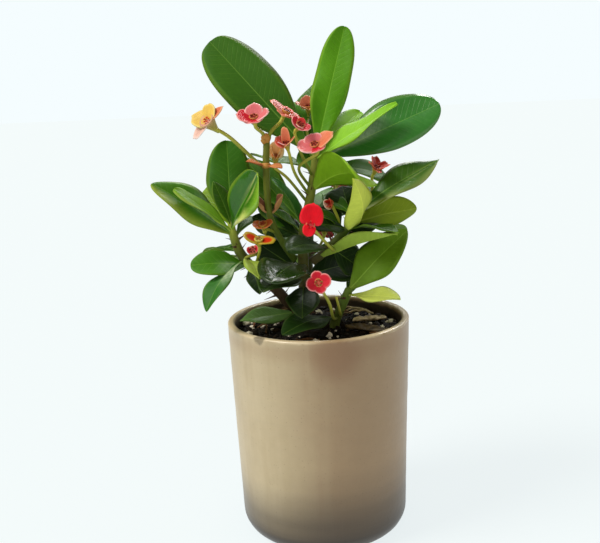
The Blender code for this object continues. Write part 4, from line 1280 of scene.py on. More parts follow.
BLOOMS = {
    "bloom_left_pink": Bloom(
        (-29, -12, 230), (-0.10, -0.55, 0.83), (0.97, -0.10, 0.10), 9.0,
        (
            Lobe(180, 1.0, 20, 1.3, Petal.PINK),
            Lobe(85, 0.85, 34, 1.35, Petal.BLUSH),
            Lobe(0, 0.95, 18, 1.2, Petal.BLUSH),
            Lobe(-90, 0.75, 10, 1.6, Petal.PINK),
        ),
    ),
    "bloom_fork_salmon": Bloom(
        (-12, -6, 232), (0.50, -0.25, 0.83), (0.83, -0.10, -0.50), 8.5,
        (
            Lobe(0, 1.1, 2, 1.25, Petal.SALMON),
            Lobe(180, 1.15, 8, 1.25, Petal.SALMON),
            Lobe(90, 0.7, 12, 1.4, Petal.SALMON),
            Lobe(-90, 0.75, -4, 1.4, Petal.SALMON),
        ),
    ),
    "bloom_top_red": Bloom(
        (-5, -15, 225), (0.45, -0.60, 0.65), (0.80, 0.00, -0.50), 5.8,
        (
            Lobe(0, 1.0, 20, 1.3, Petal.PINK),
            Lobe(180, 1.0, 20, 1.3, Petal.PINK),
            Lobe(95, 0.75, 34, 1.2, Petal.RED),
            Lobe(-85, 0.7, 30, 1.2, Petal.BLUSH),
        ),
    ),
    "bloom_top_salmon": Bloom(
        (-1, 20, 234), (0.00, -0.30, 0.95), (1.00, 0.00, 0.20), 7.5,
        (
            Lobe(0, 1.0, 20, 1.25, Petal.PEACH),
            Lobe(180, 1.0, 24, 1.25, Petal.PEACH),
            Lobe(105, 0.85, 68, 1.4, Petal.GLOWING),
        ),
    ),
    "bloom_outer_yellow": Bloom(
        (-54, -7, 229), (-0.50, -0.60, 0.62), (0.10, 0.40, 0.90), 8.0,
        (
            Lobe(-5, 1.15, 20, 1.15, Petal.YELLOW),
            Lobe(72, 1.25, 16, 1.05, Petal.YELLOW),
            Lobe(136, 1.45, -10, 0.75, Petal.SHELL),
            Lobe(-55, 1.4, 4, 0.55, Petal.PEACH),
        ),
        Petal.SHELL, (226, 96, 60), funnel=2.4,
    ),
    "bloom_inner_red": Bloom(
        (-13, -14, 216), (-0.20, -0.50, 0.85), (-0.80, 0.35, 0.30), 6.5,
        (
            Lobe(0, 1.0, 30, 1.4, Petal.SALMON),
            Lobe(180, 1.0, 36, 1.4, Petal.PEACH),
            Lobe(70, 0.8, 40, 1.3, Petal.BLUSH),
            Lobe(-75, 1.35, 66, 0.58, Petal.PEACH),
        ),
    ),
    "bloom_broad_salmon": Bloom(
        (1.5, -17, 215), (-0.20, -0.60, 0.75), (0.95, 0.00, 0.30), 9.5,
        (
            Lobe(6, 1.15, 16, 0.9, Petal.PEACH),
            Lobe(180, 0.95, 14, 1.3, Petal.BLUSH),
            Lobe(-95, 0.7, 8, 1.7, Petal.PINK),
            Lobe(90, 0.7, 26, 1.6, Petal.BLUSH),
        ),
    ),
    "bloom_front_crimson": Bloom(
        (-2, -38, 176.5), (0.00, -0.97, 0.20), (0.18, 0.00, 0.98), 10.6,
        (Lobe(0, 1.0, 6, 1.12, Petal.CRIMSON), Lobe(172, 0.55, 8, 1.15, Petal.CRIMSON)),
        Petal.CRIMSON, (196, 12, 32), sunk=1.3,
    ),
    "bloom_low_red": Bloom(
        (1, -36, 147), (0.05, -0.93, 0.35), (0.97, 0.00, 0.20), 6.6,
        (
            Lobe(4, 1.0, 12, 1.2, Petal.PINK),
            Lobe(184, 1.0, 12, 1.2, Petal.PINK),
            Lobe(94, 0.92, 8, 1.15, Petal.PINK),
            Lobe(-86, 0.9, 8, 1.15, Petal.PINK),
        ),
        glands=(150, 104, 48), sunk=0.9,
    ),
    "bloom_right_dark": Bloom(
        (34, -6, 201), (0.35, -0.45, 0.80), (0.80, -0.30, -0.30), 6.0,
        tuple(Lobe(60 * i, 1.35 - 0.2 * (i % 2), 46 - 14 * (i % 3), 0.7, Petal.DARK) for i in range(6)),
        glands=(88, 12, 10),
    ),
    "bloom_middle_dark": Bloom(
        (8, -10, 183), (-0.30, -0.85, 0.35), (0.90, 0.00, 0.20), 4.5,
        (
            Lobe(0, 0.95, 62, 1.4, Petal.DARK),
            Lobe(180, 0.95, 58, 1.4, Petal.SHELL),
            Lobe(90, 0.9, 66, 1.3, Petal.DARK),
            Lobe(-90, 0.9, 60, 1.3, Petal.DARK),
        ),
    ),
    "bloom_under_fork": Bloom(
        (-27, -15, 175), (-0.10, -0.50, 0.85), (1.00, 0.00, 0.00), 5.5,
        pair(15, Petal.RUSTY), Petal.RUSTY, (158, 76, 36),
    ),
    "bloom_twin_orange": Bloom(
        (-29, -21, 168), (0.00, -0.38, 0.92), (0.97, 0.00, -0.20), 8.5,
        (Lobe(0, 1.0, 0, 1.05, Petal.ORANGE), Lobe(180, 1.0, 24, 1.1, Petal.ORANGE)),
        Petal.YELLOW, (150, 140, 56), rim_start=0.48,
    ),
    "bloom_small_pink": Bloom(
        (-33, -14, 161), (-0.10, -0.80, 0.50), (0.90, 0.00, 0.20), 3.8, pair(35, Petal.PINK), Petal.PINK,
    ),
    "bloom_dried": Bloom(
        (-19, -2, 209), (0.10, -0.30, 0.95), (1.00, 0.00, 0.00), 7.0,
        (
            Lobe(0, 1.1, 64, 1.2, Petal.DRIED),
            Lobe(180, 1.0, 66, 1.25, Petal.DRIED),
            Lobe(90, 1.15, 74, 1.1, Petal.DRIED),
        ),
        glands=(170, 90, 50),
    ),
    "bloom_back_right": Bloom(
        (15, 39, 190), (0.35, 0.75, 0.55), (0.90, -0.40, 0.00), 8.5, pair(15, Petal.RED),
    ),
    "bloom_back_left": Bloom(
        (-42, 27, 195), (0.10, 0.75, 0.60), (0.90, 0.40, 0.00), 8.5, pair(15, Petal.PINK), Petal.PINK,
    ),
    "bloom_back_low": Bloom(
        (6, 46, 160), (0.10, 0.90, 0.40), (1.00, 0.00, 0.00), 7.5, pair(15, Petal.CRIMSON), Petal.CRIMSON,
    ),
}

MAIN_STEM = Shoot(
    "stem_woody",
    ((-6, 3, 88, 3.4), (-6, 3, 104, 3.4), (-6, 3, 115, 3.3), (-7, 1, 123, 3.2), (-7, 1, 130, 3.1)),
    StemTone((58, 42, 30), (84, 66, 46)),
    branches=(
        ((-6, 3, 119, 2.8), (-14, 0, 126, 2.8), (-22, -2, 136, 2.9), (-30, -3, 145, 2.9)),
        ((-6, 3, 116, 2.6), (-5, 12, 126, 2.6), (-4, 18, 136, 2.4)),
    ),
    leaves=(Leaf(122, (-42, -12, 122), (0.00, -0.50, 0.85), 13, 0.04, 0.04, 10, Shade.SAGE, gloss=0.5),),
    spines=(Spines(0, 117, 125, 4, 8), Spines(1, 123, 143, 8, 8), Spines(2, 122, 134, 4, 8)),
    woody=True,
    slot="bark",
)

CENTRE_SHOOT = Shoot(
    "shoot_centre",
    (
        (-7, 1, 130.4, 3.0),
        (-7, 1, 138, 3.0),
        (-7, 1, 147, 3.0),
        (-6, 0, 167, 2.8),
        (-2, 0, 184, 2.5),
        (1, 4, 200, 2.2),
        (2, 6, 208, 2.0),
    ),
    StemTone((62, 54, 30), (140, 152, 60)),
    leaves=(
        Leaf(
            206, (-53, 22, 270), (0.20, -1.00, 0.10), 32, 0.04, 0.02, 8, Shade.DEEP,
            belly=0.60, blunt=0.32, gloss=0.05,
        ),
        Leaf(
            206, (20, 14, 274), (-0.15, -1.00, 0.10), 20.5, 0.04, 0.00, 10, Shade.BRIGHT,
            belly=0.58, blunt=0.42, wave=1.6, gloss=0.3,
        ),
        Leaf(
            204, (68, 2, 232), (-0.20, -0.88, 0.40), 29, 0.04, -0.02, 8, Shade.SEA,
            belly=0.62, blunt=0.45, gloss=0.7, painted_sheen=0.9,
        ),
        Leaf(
            205, (45, -6, 233), (-0.40, -0.40, 0.85), 20, 0.02, 0.00, 14, Shade.LIME,
            belly=0.48, blunt=0.9, gloss=0.2,
        ),
        Leaf(
            207, (28, 30, 229), (-0.20, -0.90, 0.40), 17, 0.06, 0.06, 10, Shade.SUNLIT,
            blunt=0.45, gloss=0.1,
        ),
        Leaf(
            189, (26, -29, 194), (-0.25, 0.85, 0.45), 32, 0.30, 0.34, 10, Shade.LEMON,
            belly=0.55, blunt=0.5, gloss=0.15,
        ),
        Leaf(200, (44, 20, 192), (0.00, -0.60, 0.80), 15, 0.16, 0.08, 8, Shade.MID),
        Leaf(204, (-14, 36, 239), (0.10, -0.90, 0.30), 17, 0.06, 0.02, 10, Shade.FRESH),
        Leaf(170, (-40, 23, 208), (0.30, -0.85, 0.40), 18, 0.04, 0.02, 20, Shade.MID, belly=0.6),
        Leaf(168, (-22, 3, 197), (0.60, -0.30, 0.50), 13, 0.10, 0.05, 26, Shade.TEAL),
        Leaf(166, (-26, 2, 180), (0.50, -0.20, 0.80), 11, 0.08, 0.06, 26, Shade.DEEP),
        Leaf(164, (-20, 12, 173), (0.10, -0.60, 0.80), 12, 0.10, 0.10, 12, Shade.DARK),
        Leaf(
            147, (-22, -45, 150), (0.00, -0.60, 0.80), 27, 0.16, 0.12, 8, Shade.DARK,
            belly=0.66, blunt=0.5, gloss=0.85,
        ),
        Leaf(
            140, (-27, -36, 143), (-0.10, -0.40, 0.90), 21, 0.12, 0.10, 10, Shade.DARK,
            blunt=0.6, gloss=0.7,
        ),
        Leaf(136, (-8, -37, 129), (0.00, -0.50, 0.86), 18, 0.16, 0.14, 8, Shade.DARK, blunt=0.6, gloss=0.3),
        Leaf(141, (26, 14, 146), (0.00, -0.60, 0.80), 25, 0.10, 0.08, 8, Shade.DARK),
        Leaf(206, (6, 46, 250), (0.00, 0.40, 0.60), 24, 0.10, 0.00, 10, Shade.MID),
        Leaf(202, (40, 44, 216), (0.20, 0.30, 0.90), 24, 0.16, 0.12, 10, Shade.DEEP),
        Leaf(200, (-36, 40, 208), (-0.20, 0.30, 0.90), 22, 0.04, -0.02, 10, Shade.MID),
        Leaf(164, (-34, 9, 175), (0.00, -0.80, 0.60), 17, 0.04, 0.02, 10, Shade.DARK),
        Leaf(144, (-33, 11, 161), (0.00, -0.90, 0.40), 19, -0.02, -0.02, 10, Shade.DARK),
        Leaf(198, (-6, 14, 210), (-0.10, -0.90, 0.30), 10, 0.04, 0.00, 10, Shade.MID, blunt=0.6),
        Leaf(162, (-31, 16, 186), (0.10, -0.80, 0.50), 15, 0.04, 0.02, 12, Shade.DEEP),
    ),
    stalks=(
        Stalk(190, ((-7, -5, 202),), "bloom_broad_salmon"),
        Stalk(186, ((-9, -7, 199),), "bloom_inner_red"),
        Stalk(196, ((-5, -4, 208),), "bloom_top_red"),
        Stalk(205, ((-2, 11, 219),), "bloom_top_salmon"),
        Stalk(182, ((-13, 0, 196),), "bloom_dried"),
        Stalk(195, ((11, 20, 195),), "bloom_back_right"),
    ),
    spines=(Spines(0, 146, 200, 6, 7),),
)

LEFT_SHOOT = Shoot(
    "shoot_left",
    (
        (-30.3, -3, 145.5, 2.8),
        (-36, -4, 151, 2.8),
        (-41, -5, 159, 2.6),
        (-44, -3, 168, 2.3),
        (-45, -1, 174, 1.8),
    ),
    StemTone((66, 76, 30), (204, 224, 84), 3.0),
    leaves=(
        Leaf(
            167, (-83, -17, 198), (0.35, -0.75, 0.60), 20, 0.02, 0.06, 14, Shade.GARDEN,
            belly=0.55, blunt=0.6, edge=Shade.SPRING, edge_side=-1.0, edge_start=0.05, gloss=0.3,
            painted_sheen=0.5, painted_sheen_side=1.0,
        ),
        Leaf(
            169, (-71, -21, 195), (0.30, -0.45, 0.85), 14, 0.04, 0.06, 12, Shade.SUNLIT,
            blunt=0.7, edge=Shade.STRAW, edge_side=-1.0, edge_start=0.55, gloss=0.2,
        ),
        Leaf(
            170, (-46, 12, 217), (0.05, -1.00, 0.10), 25, 0.06, 0.00, 8, Shade.PLAIN,
            belly=0.58, blunt=0.5, gloss=0.1,
        ),
        Leaf(
            170, (-27.5, -25, 202), (-0.20, -0.85, 0.45), 21, 0.10, -0.04, 20, Shade.STRIPED,
            belly=0.62, blunt=0.38, edge=Shade.SUNLIT, edge_side=1.0, gloss=0.9, stripes_and_glints=0.9,
        ),
        Leaf(172, (-52, -8, 197), (0.10, -0.60, 0.80), 11, 0.04, 0.04, 12, Shade.DEEP),
        Leaf(171, (-59, 19, 192), (0.10, -0.80, 0.50), 16, 0.08, 0.04, 12, Shade.LEMON, blunt=0.6, gloss=0.1),
        Leaf(
            150, (-66, -16, 154), (-0.10, -0.70, 0.70), 18, 0.10, 0.08, 8, Shade.GARDEN,
            blunt=0.45, gloss=0.4, painted_sheen=0.6,
        ),
        Leaf(
            154, (-57, -32, 133), (-0.50, -0.60, 0.55), 14, 0.16, 0.12, 10, Shade.WET,
            blunt=0.55, gloss=0.35, painted_sheen=0.75,
        ),
        Leaf(154, (-29, -35, 150), (0.20, 0.10, 1.00), 12, 0.10, 0.10, 12, Shade.SPRING, stripes_and_glints=0.6),
        Leaf(151, (-30, -19, 138), (0.30, -0.50, 0.80), 12, 0.10, 0.10, 10, Shade.DARK),
        Leaf(168, (-54, 44, 186), (-0.10, 0.30, 0.95), 22, 0.18, 0.14, 10, Shade.DEEP),
        Leaf(166, (-26, 40, 168), (0.20, 0.40, 0.90), 18, 0.16, 0.14, 10, Shade.MID),
        Leaf(158, (-62, 29, 153), (-0.30, 0.30, 0.90), 19, 0.08, 0.06, 10, Shade.DEEP),
        Leaf(152, (-50, 34, 142), (-0.10, 0.40, 0.90), 17, 0.18, 0.14, 10, Shade.MID),
    ),
    stalks=(
        Stalk(149, ((-31, -12, 155),), "bloom_twin_orange"),
        Stalk(154, ((-37, -9, 156),), "bloom_small_pink"),
        Stalk(171, ((-44, 10, 179),), "bloom_back_left"),
    ),
    spines=(Spines(0, 147, 166, 6, 7),),
)

RIGHT_SHOOT = Shoot(
    "shoot_right",
    ((-1.9, 0.2, 150.6, 2.3), (4, -1, 155, 2.3), (13, -4, 164, 2.2), (19, -7, 171, 2.0), (21, -7, 177, 1.7)),
    StemTone((84, 76, 46), (84, 116, 42)),
    leaves=(
        Leaf(
            170, (19, -45, 199), (-0.70, 0.70, 0.15), 22, -0.24, -0.16, 16, Shade.PALE,
            belly=0.5, blunt=0.8, gloss=0.1,
        ),
        Leaf(
            175, (67, -1, 203), (0.10, -0.60, 0.80), 18, 0.10, 0.06, 10, Shade.DEEP,
            belly=0.58, edge=Shade.CREAM, edge_side=1.0, edge_start=0.4, gloss=0.5, stripes_and_glints=0.25,
        ),
        Leaf(
            172, (54, -9, 179), (-0.15, 0.80, 0.55), 20, 0.04, 0.04, 8, Shade.KHAKI,
            belly=0.60, blunt=0.42, gloss=0.25,
        ),
        Leaf(169, (42, -32, 170), (0.00, 0.10, 1.00), 14, 0.08, 0.08, 12, Shade.MID),
        # One half of this leaf takes the SHADED green, a painted shadow
        Leaf(
            153, (42, -26, 169), (-0.35, 0.45, 0.80), 19, 0.00, 0.02, 24, Shade.SPRING,
            belly=0.50, edge=Shade.SHADED, edge_side=-1.0, gloss=0.1,
        ),
        Leaf(
            157, (-14, -32, 163), (-0.10, -0.65, 0.75), 20, 0.14, 0.12, 8, Shade.DARK,
            blunt=0.6, gloss=0.55,
        ),
        Leaf(176, (5, 9, 186), (0.20, -0.60, 0.70), 11, 0.08, 0.04, 14, Shade.MID),
        Leaf(168, (-2, -14, 181), (0.40, -0.40, 0.80), 11, 0.08, 0.04, 20, Shade.DEEP),
        Leaf(174, (34, 34, 186), (0.20, 0.30, 0.90), 20, 0.18, 0.14, 10, Shade.MID),
        Leaf(166, (52, 22, 160), (0.20, 0.20, 0.95), 19, 0.18, 0.16, 10, Shade.DEEP),
        Leaf(162, (20, 38, 158), (0.00, 0.40, 0.90), 18, 0.18, 0.16, 10, Shade.DEEP),
        Leaf(168, (3, -21, 174), (0.20, -0.60, 0.70), 12, 0.10, 0.06, 12, Shade.DARK),
        Leaf(165, (34, 6, 174), (-0.10, -0.80, 0.55), 17, 0.04, 0.04, 10, Shade.DARK),
        Leaf(159, (24, 5, 145), (0.10, -0.75, 0.60), 20, 0.00, 0.00, 10, Shade.DARK),
        Leaf(173, (16, 12, 190), (0.00, -0.90, 0.30), 22, 0.06, 0.04, 10, Shade.DARK),
        Leaf(166, (2, 8, 178), (0.00, -0.90, 0.30), 20, 0.06, 0.04, 10, Shade.DARK),
    ),
    stalks=(
        Stalk(160, ((9, -18, 160),), "bloom_front_crimson"),
        Stalk(175, ((31, 2, 186),), "bloom_right_dark"),
        Stalk(164, ((13, -6, 173),), "bloom_middle_dark"),
    ),
    spines=(Spines(0, 156, 176, 6, 7),),
)

LOW_SHOOT = Shoot(
    "shoot_low",
    ((9, -5, 88, 2.8), (9, -5, 102, 2.8), (9, -5, 116, 2.8), (13, -9, 127, 2.5), (17, -12, 137, 2.2)),
    StemTone((84, 76, 46), (100, 128, 48)),
    leaves=(
        Leaf(
            136, (49, -8, 167), (-0.40, -0.80, 0.45), 23, 0.04, 0.04, 10, Shade.GRASS,
            belly=0.54, blunt=0.75, gloss=0.15,
        ),
        Leaf(134, (42, -34, 136), (-0.10, -0.20, 1.00), 17, 0.02, 0.04, 12, Shade.STRAW, gloss=0.2),
        Leaf(120, (-18, -38, 121), (0.00, -0.30, 0.95), 19, 0.10, 0.08, 8, Shade.DARK, blunt=0.6, gloss=0.4),
        Leaf(135, (47, 18, 147), (0.10, 0.10, 1.00), 18, 0.14, 0.12, 10, Shade.MID),
        Leaf(130, (36, 30, 132), (0.10, 0.30, 0.95), 17, 0.16, 0.14, 10, Shade.DEEP),
    ),
    stalks=(
        Stalk(120, ((8, -20, 124), (6, -27, 134)), "bloom_low_red"),
        Stalk(123, ((12, -16, 125), (10, -20, 135)), radius=0.7),
    ),
    spines=(Spines(0, 118, 134, 5, 6),),
)

BACK_SHOOT = Shoot(
    "shoot_back",
    ((-4, 18.3, 136.6, 2.3), (-4, 23, 147, 2.3), (-3, 25, 158, 2.1), (-2, 25, 166, 1.8)),
    StemTone((84, 76, 46), (84, 116, 42)),
    leaves=(
        Leaf(164, (12, 58, 184), (0.00, 0.20, 0.90), 20, 0.12, 0.06, 12, Shade.MID),
        Leaf(163, (-32, 52, 186), (-0.10, 0.30, 0.90), 20, 0.14, 0.10, 12, Shade.DEEP),
        Leaf(160, (34, 48, 172), (0.20, 0.30, 0.90), 18, 0.16, 0.12, 10, Shade.DEEP),
        Leaf(156, (-2, 70, 170), (0.00, 0.30, 0.95), 20, 0.16, 0.14, 10, Shade.BRIGHT),
        Leaf(152, (-38, 50, 154), (-0.20, 0.30, 0.90), 18, 0.16, 0.14, 10, Shade.MID),
        Leaf(148, (24, 58, 146), (0.10, 0.40, 0.90), 18, 0.16, 0.16, 10, Shade.MID),
        Leaf(144, (-12, 62, 138), (0.00, 0.40, 0.90), 17, 0.18, 0.16, 10, Shade.DEEP),
    ),
    stalks=(Stalk(150, ((2, 36, 152),), "bloom_back_low"),),
    spines=(Spines(0, 140, 162, 5, 6),),
)

FLOWERING_STEM = Shoot(
    "stem_flowering",
    (
        (-11.5, 0.4, 152, 1.7),
        (-16, -4, 160, 1.8),
        (-22, -8, 173, 1.8),
        (-24, -8, 184, 1.8),
        (-24, -8, 204, 1.8),
        (-23, -8, 218, 1.7),
    ),
    StemTone((84, 108, 30), (112, 118, 44)),
    leaves=(
        Leaf(204, (-34, -11, 207), (0.00, -0.20, 1.00), 8, 0.04, 0.04, 16, Shade.CORAL, gloss=0.1),
        Leaf(204, (-15.5, -13, 203), (0.00, -0.20, 1.00), 8, 0.04, 0.04, 16, Shade.CORAL, gloss=0.1),
        Leaf(
            179, (-30.5, -12, 188), (0.60, -0.30, 0.75), 10, -0.20, -0.10, 38, Shade.SCALE,
            blunt=0.5, gloss=0.1,
        ),
        Leaf(
            179, (-16, -12, 189), (-0.60, -0.30, 0.75), 10, -0.20, -0.10, 38, Shade.SCALE,
            blunt=0.5, gloss=0.1,
        ),
    ),
    stalks=(
        Stalk(216.5, ((-25, -9, 221),), "bloom_left_pink", 1.0),
        Stalk(216.5, ((-20, -9, 222),), "bloom_fork_salmon", 1.0),
        Stalk(202, ((-31, -5, 208), (-42, -5, 219)), "bloom_outer_yellow", 1.0),
        Stalk(168, ((-25, -11, 171),), "bloom_under_fork"),
    ),
    knuckles=((-23, -8.3, 218.4, 2.7), (-24.3, -9.4, 217.0, 1.6), (-24, -8, 204.2, 2.4)),
    slot="flower_stem",
)

SHOOTS = (MAIN_STEM, CENTRE_SHOOT, LEFT_SHOOT, RIGHT_SHOOT, LOW_SHOOT, BACK_SHOOT, FLOWERING_STEM)

@dataclass(frozen=True)
class Pot:
    """The glazed pot: a turned shell with throwing marks and a small chip on its rim."""

    height: float = 120.0
    top_radius: float = 50.0
    foot_radius: float = 46.5
    corner: float = 10.0
    wall: float = 4.0
    floor: float = 7.0
    bevel: float = 1.4
    around: int = 168
    wall_rows: int = 60
    skin_inset: float = 0.15
    chip_radius: float = 3.0
    chip_depth: float = 1.1

    def outer(self, z: float) -> float:
        """The outer radius at a height above the rounded foot."""
        return self.foot_radius + (self.top_radius - self.foot_radius) * z / self.height

    def inner_radius(self, z: float) -> float:
        """The inner radius at a height above the rounded inner corner."""
        return self.outer(z) - self.wall

    def profile(self) -> list[tuple[float, float]]:
        """(radius, height) points from the middle of the base, up outside, over the rim and down inside."""

        def arc(at: tuple[float, float], size: float, turns: np.ndarray) -> list[tuple[float, float]]:
            """Points on a circle, at turns in degrees from outwards."""
            angles = [math.radians(turn) for turn in turns]
            return [(at[0] + size * math.cos(a), at[1] + size * math.sin(a)) for a in angles]

        foot = self.outer(self.corner) - self.corner
        high = self.height - self.bevel
        rim = self.outer(self.height)
        inner_corner = self.corner - self.wall
        low = self.floor + inner_corner
        inner_foot = self.inner_radius(low) - inner_corner
        return [
            *((r, 0.0) for r in np.linspace(0.5, foot, 8)),
            *arc((foot, self.corner), self.corner, np.linspace(-90, 0, 10)[1:]),
            *((self.outer(z), z) for z in np.linspace(self.corner, high, self.wall_rows)[1:]),
            *arc((rim - self.bevel, high), self.bevel, np.linspace(0, 90, 6)[1:]),
            *arc((rim - self.wall + self.bevel, high), self.bevel, np.linspace(90, 180, 6)),
            *((self.inner_radius(z), z) for z in np.linspace(high, low, 20)[1:]),
            *arc((inner_foot, low), inner_corner, np.linspace(0, -90, 5)[1:]),
            *((r, self.floor) for r in np.linspace(inner_foot, 0.5, 6)[1:]),
        ]

    def build(self) -> None:
        """Builds and dresses the pot in place of its solid."""
        rings = []
        for radius, z in self.profile():
            for k in range(self.around):
                angle = 2 * math.pi * k / self.around
                way = Vector((math.cos(angle), math.sin(angle), 0.0))
                outside = radius > self.outer(z) - self.wall * 0.5 and z > 2
                wobble = 0.22 * noise.noise(way * 1.1 + Vector((0, 0, z * 0.012)))
                wobble += 0.10 * noise.noise(Vector((way.x * 0.4, way.y * 0.4, z * 0.16)))
                at = way * (radius + (wobble - self.skin_inset if outside else 0.0)) + Vector((0, 0, z))
                away = (at - Vector(CHIP_PLACE)).length + 0.8 * noise.noise(at * 0.9)
                if away < self.chip_radius:
                    depth = self.chip_depth * (1 - (max(away, 0.0) / self.chip_radius) ** 2)
                    at = at - way * depth - Vector((0, 0, 0.7 * depth))
                rings.append(tuple(at))
        draft = MeshDraft()
        draft.add_rings(np.array(rings).reshape(-1, self.around, 3))
        settle(draft.build("pot_shell", [GLAZE.material()]), "glaze", "pot")


# Each larger pale stone's place and size, most of them at the left
STONES = (
    (-41, 13, 2.0), (-36, 18, 2.2), (-33, 22, 1.9), (-27, 30, 2.1), (-20, 31, 1.8), (-37, 6, 1.5),
    (-27, 17, 2.0), (-23, 12, 1.4), (-31, 6, 1.3), (41, 8, 1.6), (35, -4, 1.4),
)

# Each twig's place, turn, length and colour
TWIGS = (
    (-24, 26, 0.5, 22, (118, 84, 54)),
    (-32, 12, 1.1, 18, (130, 84, 54)),
    (-14, 34, 2.8, 20, (150, 128, 92)),
    (-30, -4, 2.0, 14, (112, 84, 54)),
    (18, 30, 0.2, 20, (176, 158, 118)),
    (24, 26, -0.3, 18, (196, 180, 140)),
    (22, 21, 0.1, 16, (184, 166, 126)),
    (32, -24, 2.3, 15, (120, 84, 54)),
    (-6, -30, 0.4, 13, (120, 84, 54)),
)


@dataclass(frozen=True)
class Soil:
    """The potting mix: a lumpy bed with crumbs, chips of bark, perlite and fallen bits on it."""

    pot: Pot
    level: float = 112.0
    mound: float = 2.5
    lumps: float = 1.6
    gap: float = 0.3
    perlite: int = 12
    small_perlite: int = 46
    crumbs: int = 620
    around: int = 120
    bed_rings: int = 46

    EARTH_COLOUR = (25, 21, 16)
    CRUMB_COLOURS = ((20, 17, 14), (34, 27, 20), (17, 14, 12), (54, 42, 30), (38, 31, 24))
    PERLITE_COLOUR = (232, 228, 214)
    CRUMB_SEED = 11
    PERLITE_SEED = 5

    def top(self, x: float, y: float) -> float:
        """The height of the bed's broad lumps."""
        away = math.hypot(x, y) / self.pot.inner_radius(self.level)
        lumps = noise.noise(Vector((x, y, 0.0)) * 0.13) + 0.5 * noise.noise(Vector((x, y, 9.0)) * 0.31)
        return self.level + self.mound * (1 - away**2) + self.lumps * lumps

    def build_bed(self) -> None:
        """The bed, closed below and pressed against the pot."""
        edge = self.pot.inner_radius(self.level) - self.gap
        bottom = self.pot.floor + self.gap
        low = self.pot.floor + self.pot.corner - self.pot.wall
        foot = self.pot.inner_radius(low) - self.gap
        rings = []
        for radius, z in ((0.4, bottom), (foot - 6, bottom), (foot, low), (edge - 0.6, self.level - 6)):
            rings.append([(radius * math.cos(a), radius * math.sin(a), z) for a in self.angles()])
        for radius in np.linspace(edge, 0.4, self.bed_rings):
            ring = []
            for a in self.angles():
                x, y = radius * math.cos(a), radius * math.sin(a)
                grain = noise.noise(Vector((x, y, 3.0)) * 0.75) + 0.6 * noise.noise(Vector((x, y, 5.0)) * 1.6)
                ring.append((x, y, self.top(x, y) + 0.75 * grain))
            rings.append(ring)
        draft = MeshDraft()
        draft.add_rings(np.array(rings), values={Skin.TINT: paint(self.EARTH_COLOUR)})
        settle(draft.build("soil_bed", [EARTH.material()]), "potting_mix", "soil")

    def angles(self) -> np.ndarray:
        """The turns of the points round the bed."""
        return np.linspace(0, 2 * math.pi, self.around, endpoint=False)

    def build_crumbs(self) -> None:
        """Crumbs of earth and chips of bark, strewn over the bed."""
        draw = random.Random(self.CRUMB_SEED)
        draft = MeshDraft()
        for i in range(self.crumbs):
            away = (self.pot.inner_radius(self.level) - 1.8) * math.sqrt(draw.random())
            turn = draw.uniform(0, 2 * math.pi)
            x, y = away * math.cos(turn), away * math.sin(turn)
            size = draw.uniform(0.5, 1.0) * draw.choice((0.9, 1.2, 1.9))
            radii = tuple(size * draw.uniform(*limits) for limits in ((0.9, 1.7), (0.6, 1.0), (0.5, 0.85)))
            place = (x, y, self.top(x, y) + radii[2] * 0.35)
            rings = pebble(place, radii, 5, 8, draw.uniform(0, 6.3), 0.75, float(i))
            draft.add_rings(rings, values={Skin.TINT: paint(draw.choice(self.CRUMB_COLOURS))})
        settle(draft.build("soil_crumbs", [CRUMB.material()]), "potting_mix")

    def build_perlite(self) -> None:
        """The white grains: the large ones where the solid has them, and smaller ones between."""
        draw = random.Random(self.PERLITE_SEED)
        draft = MeshDraft()
        spots = []
        for _ in range(self.perlite):
            away, turn = 42.0 * math.sqrt(draw.uniform(0.12, 0.9)), draw.uniform(0, 2 * math.pi)
            x, y, size = away * math.cos(turn), away * math.sin(turn), draw.uniform(1.4, 2.4)
            if not any(leaf.covers(x, y) for leaf in DRY_LEAVES):
                spots.append((x, y, size, turn))
        spots += [(x, y, size, x * 0.3) for x, y, size in STONES]
        for _ in range(self.small_perlite):
            away, turn = 43.0 * math.sqrt(draw.random()), draw.uniform(0, 2 * math.pi)
            spots.append((away * math.cos(turn), away * math.sin(turn), draw.uniform(0.45, 0.95), turn))
        for i, (x, y, size, turn) in enumerate(spots):
            place = (x, y, self.top(x, y) + 0.5 * size)
            rings = pebble(place, (1.2 * size, 0.9 * size, 0.8 * size), 7, 10, turn, 0.6, float(i))
            draft.add_rings(rings, values={Skin.TINT: paint(self.PERLITE_COLOUR)})
        settle(draft.build("perlite_grains", [PERLITE.material()]), "potting_mix", "soil")

    def build_twigs(self) -> None:
        """Thin dry stalks that have fallen on the bed."""
        draft = MeshDraft()
        for x, y, turn, length, colour in TWIGS:
            way = np.array((math.cos(turn), math.sin(turn)))
            line = []
            for share in np.linspace(-0.5, 0.5, 9):
                bend = way[::-1] * (1, -1) * 1.6 * math.sin(share * 5 + x)
                at = np.array((x, y)) + way * length * share + bend
                height = self.top(*at) + 1.5 + 1.4 * math.sin(math.pi * (share + 0.5))
                line.append((*at, height, 0.62 - 0.3 * abs(share)))
            draft.add_rings(tube_rings(np.array(line), 8), values={Skin.TINT: paint(colour)})
        settle(draft.build("fallen_twigs", [BARK.material()]), "dead_leaf")

    def build(self) -> None:
        """Builds all that fills the pot."""
        self.build_bed()
        self.build_crumbs()
        self.build_perlite()
        self.build_twigs()


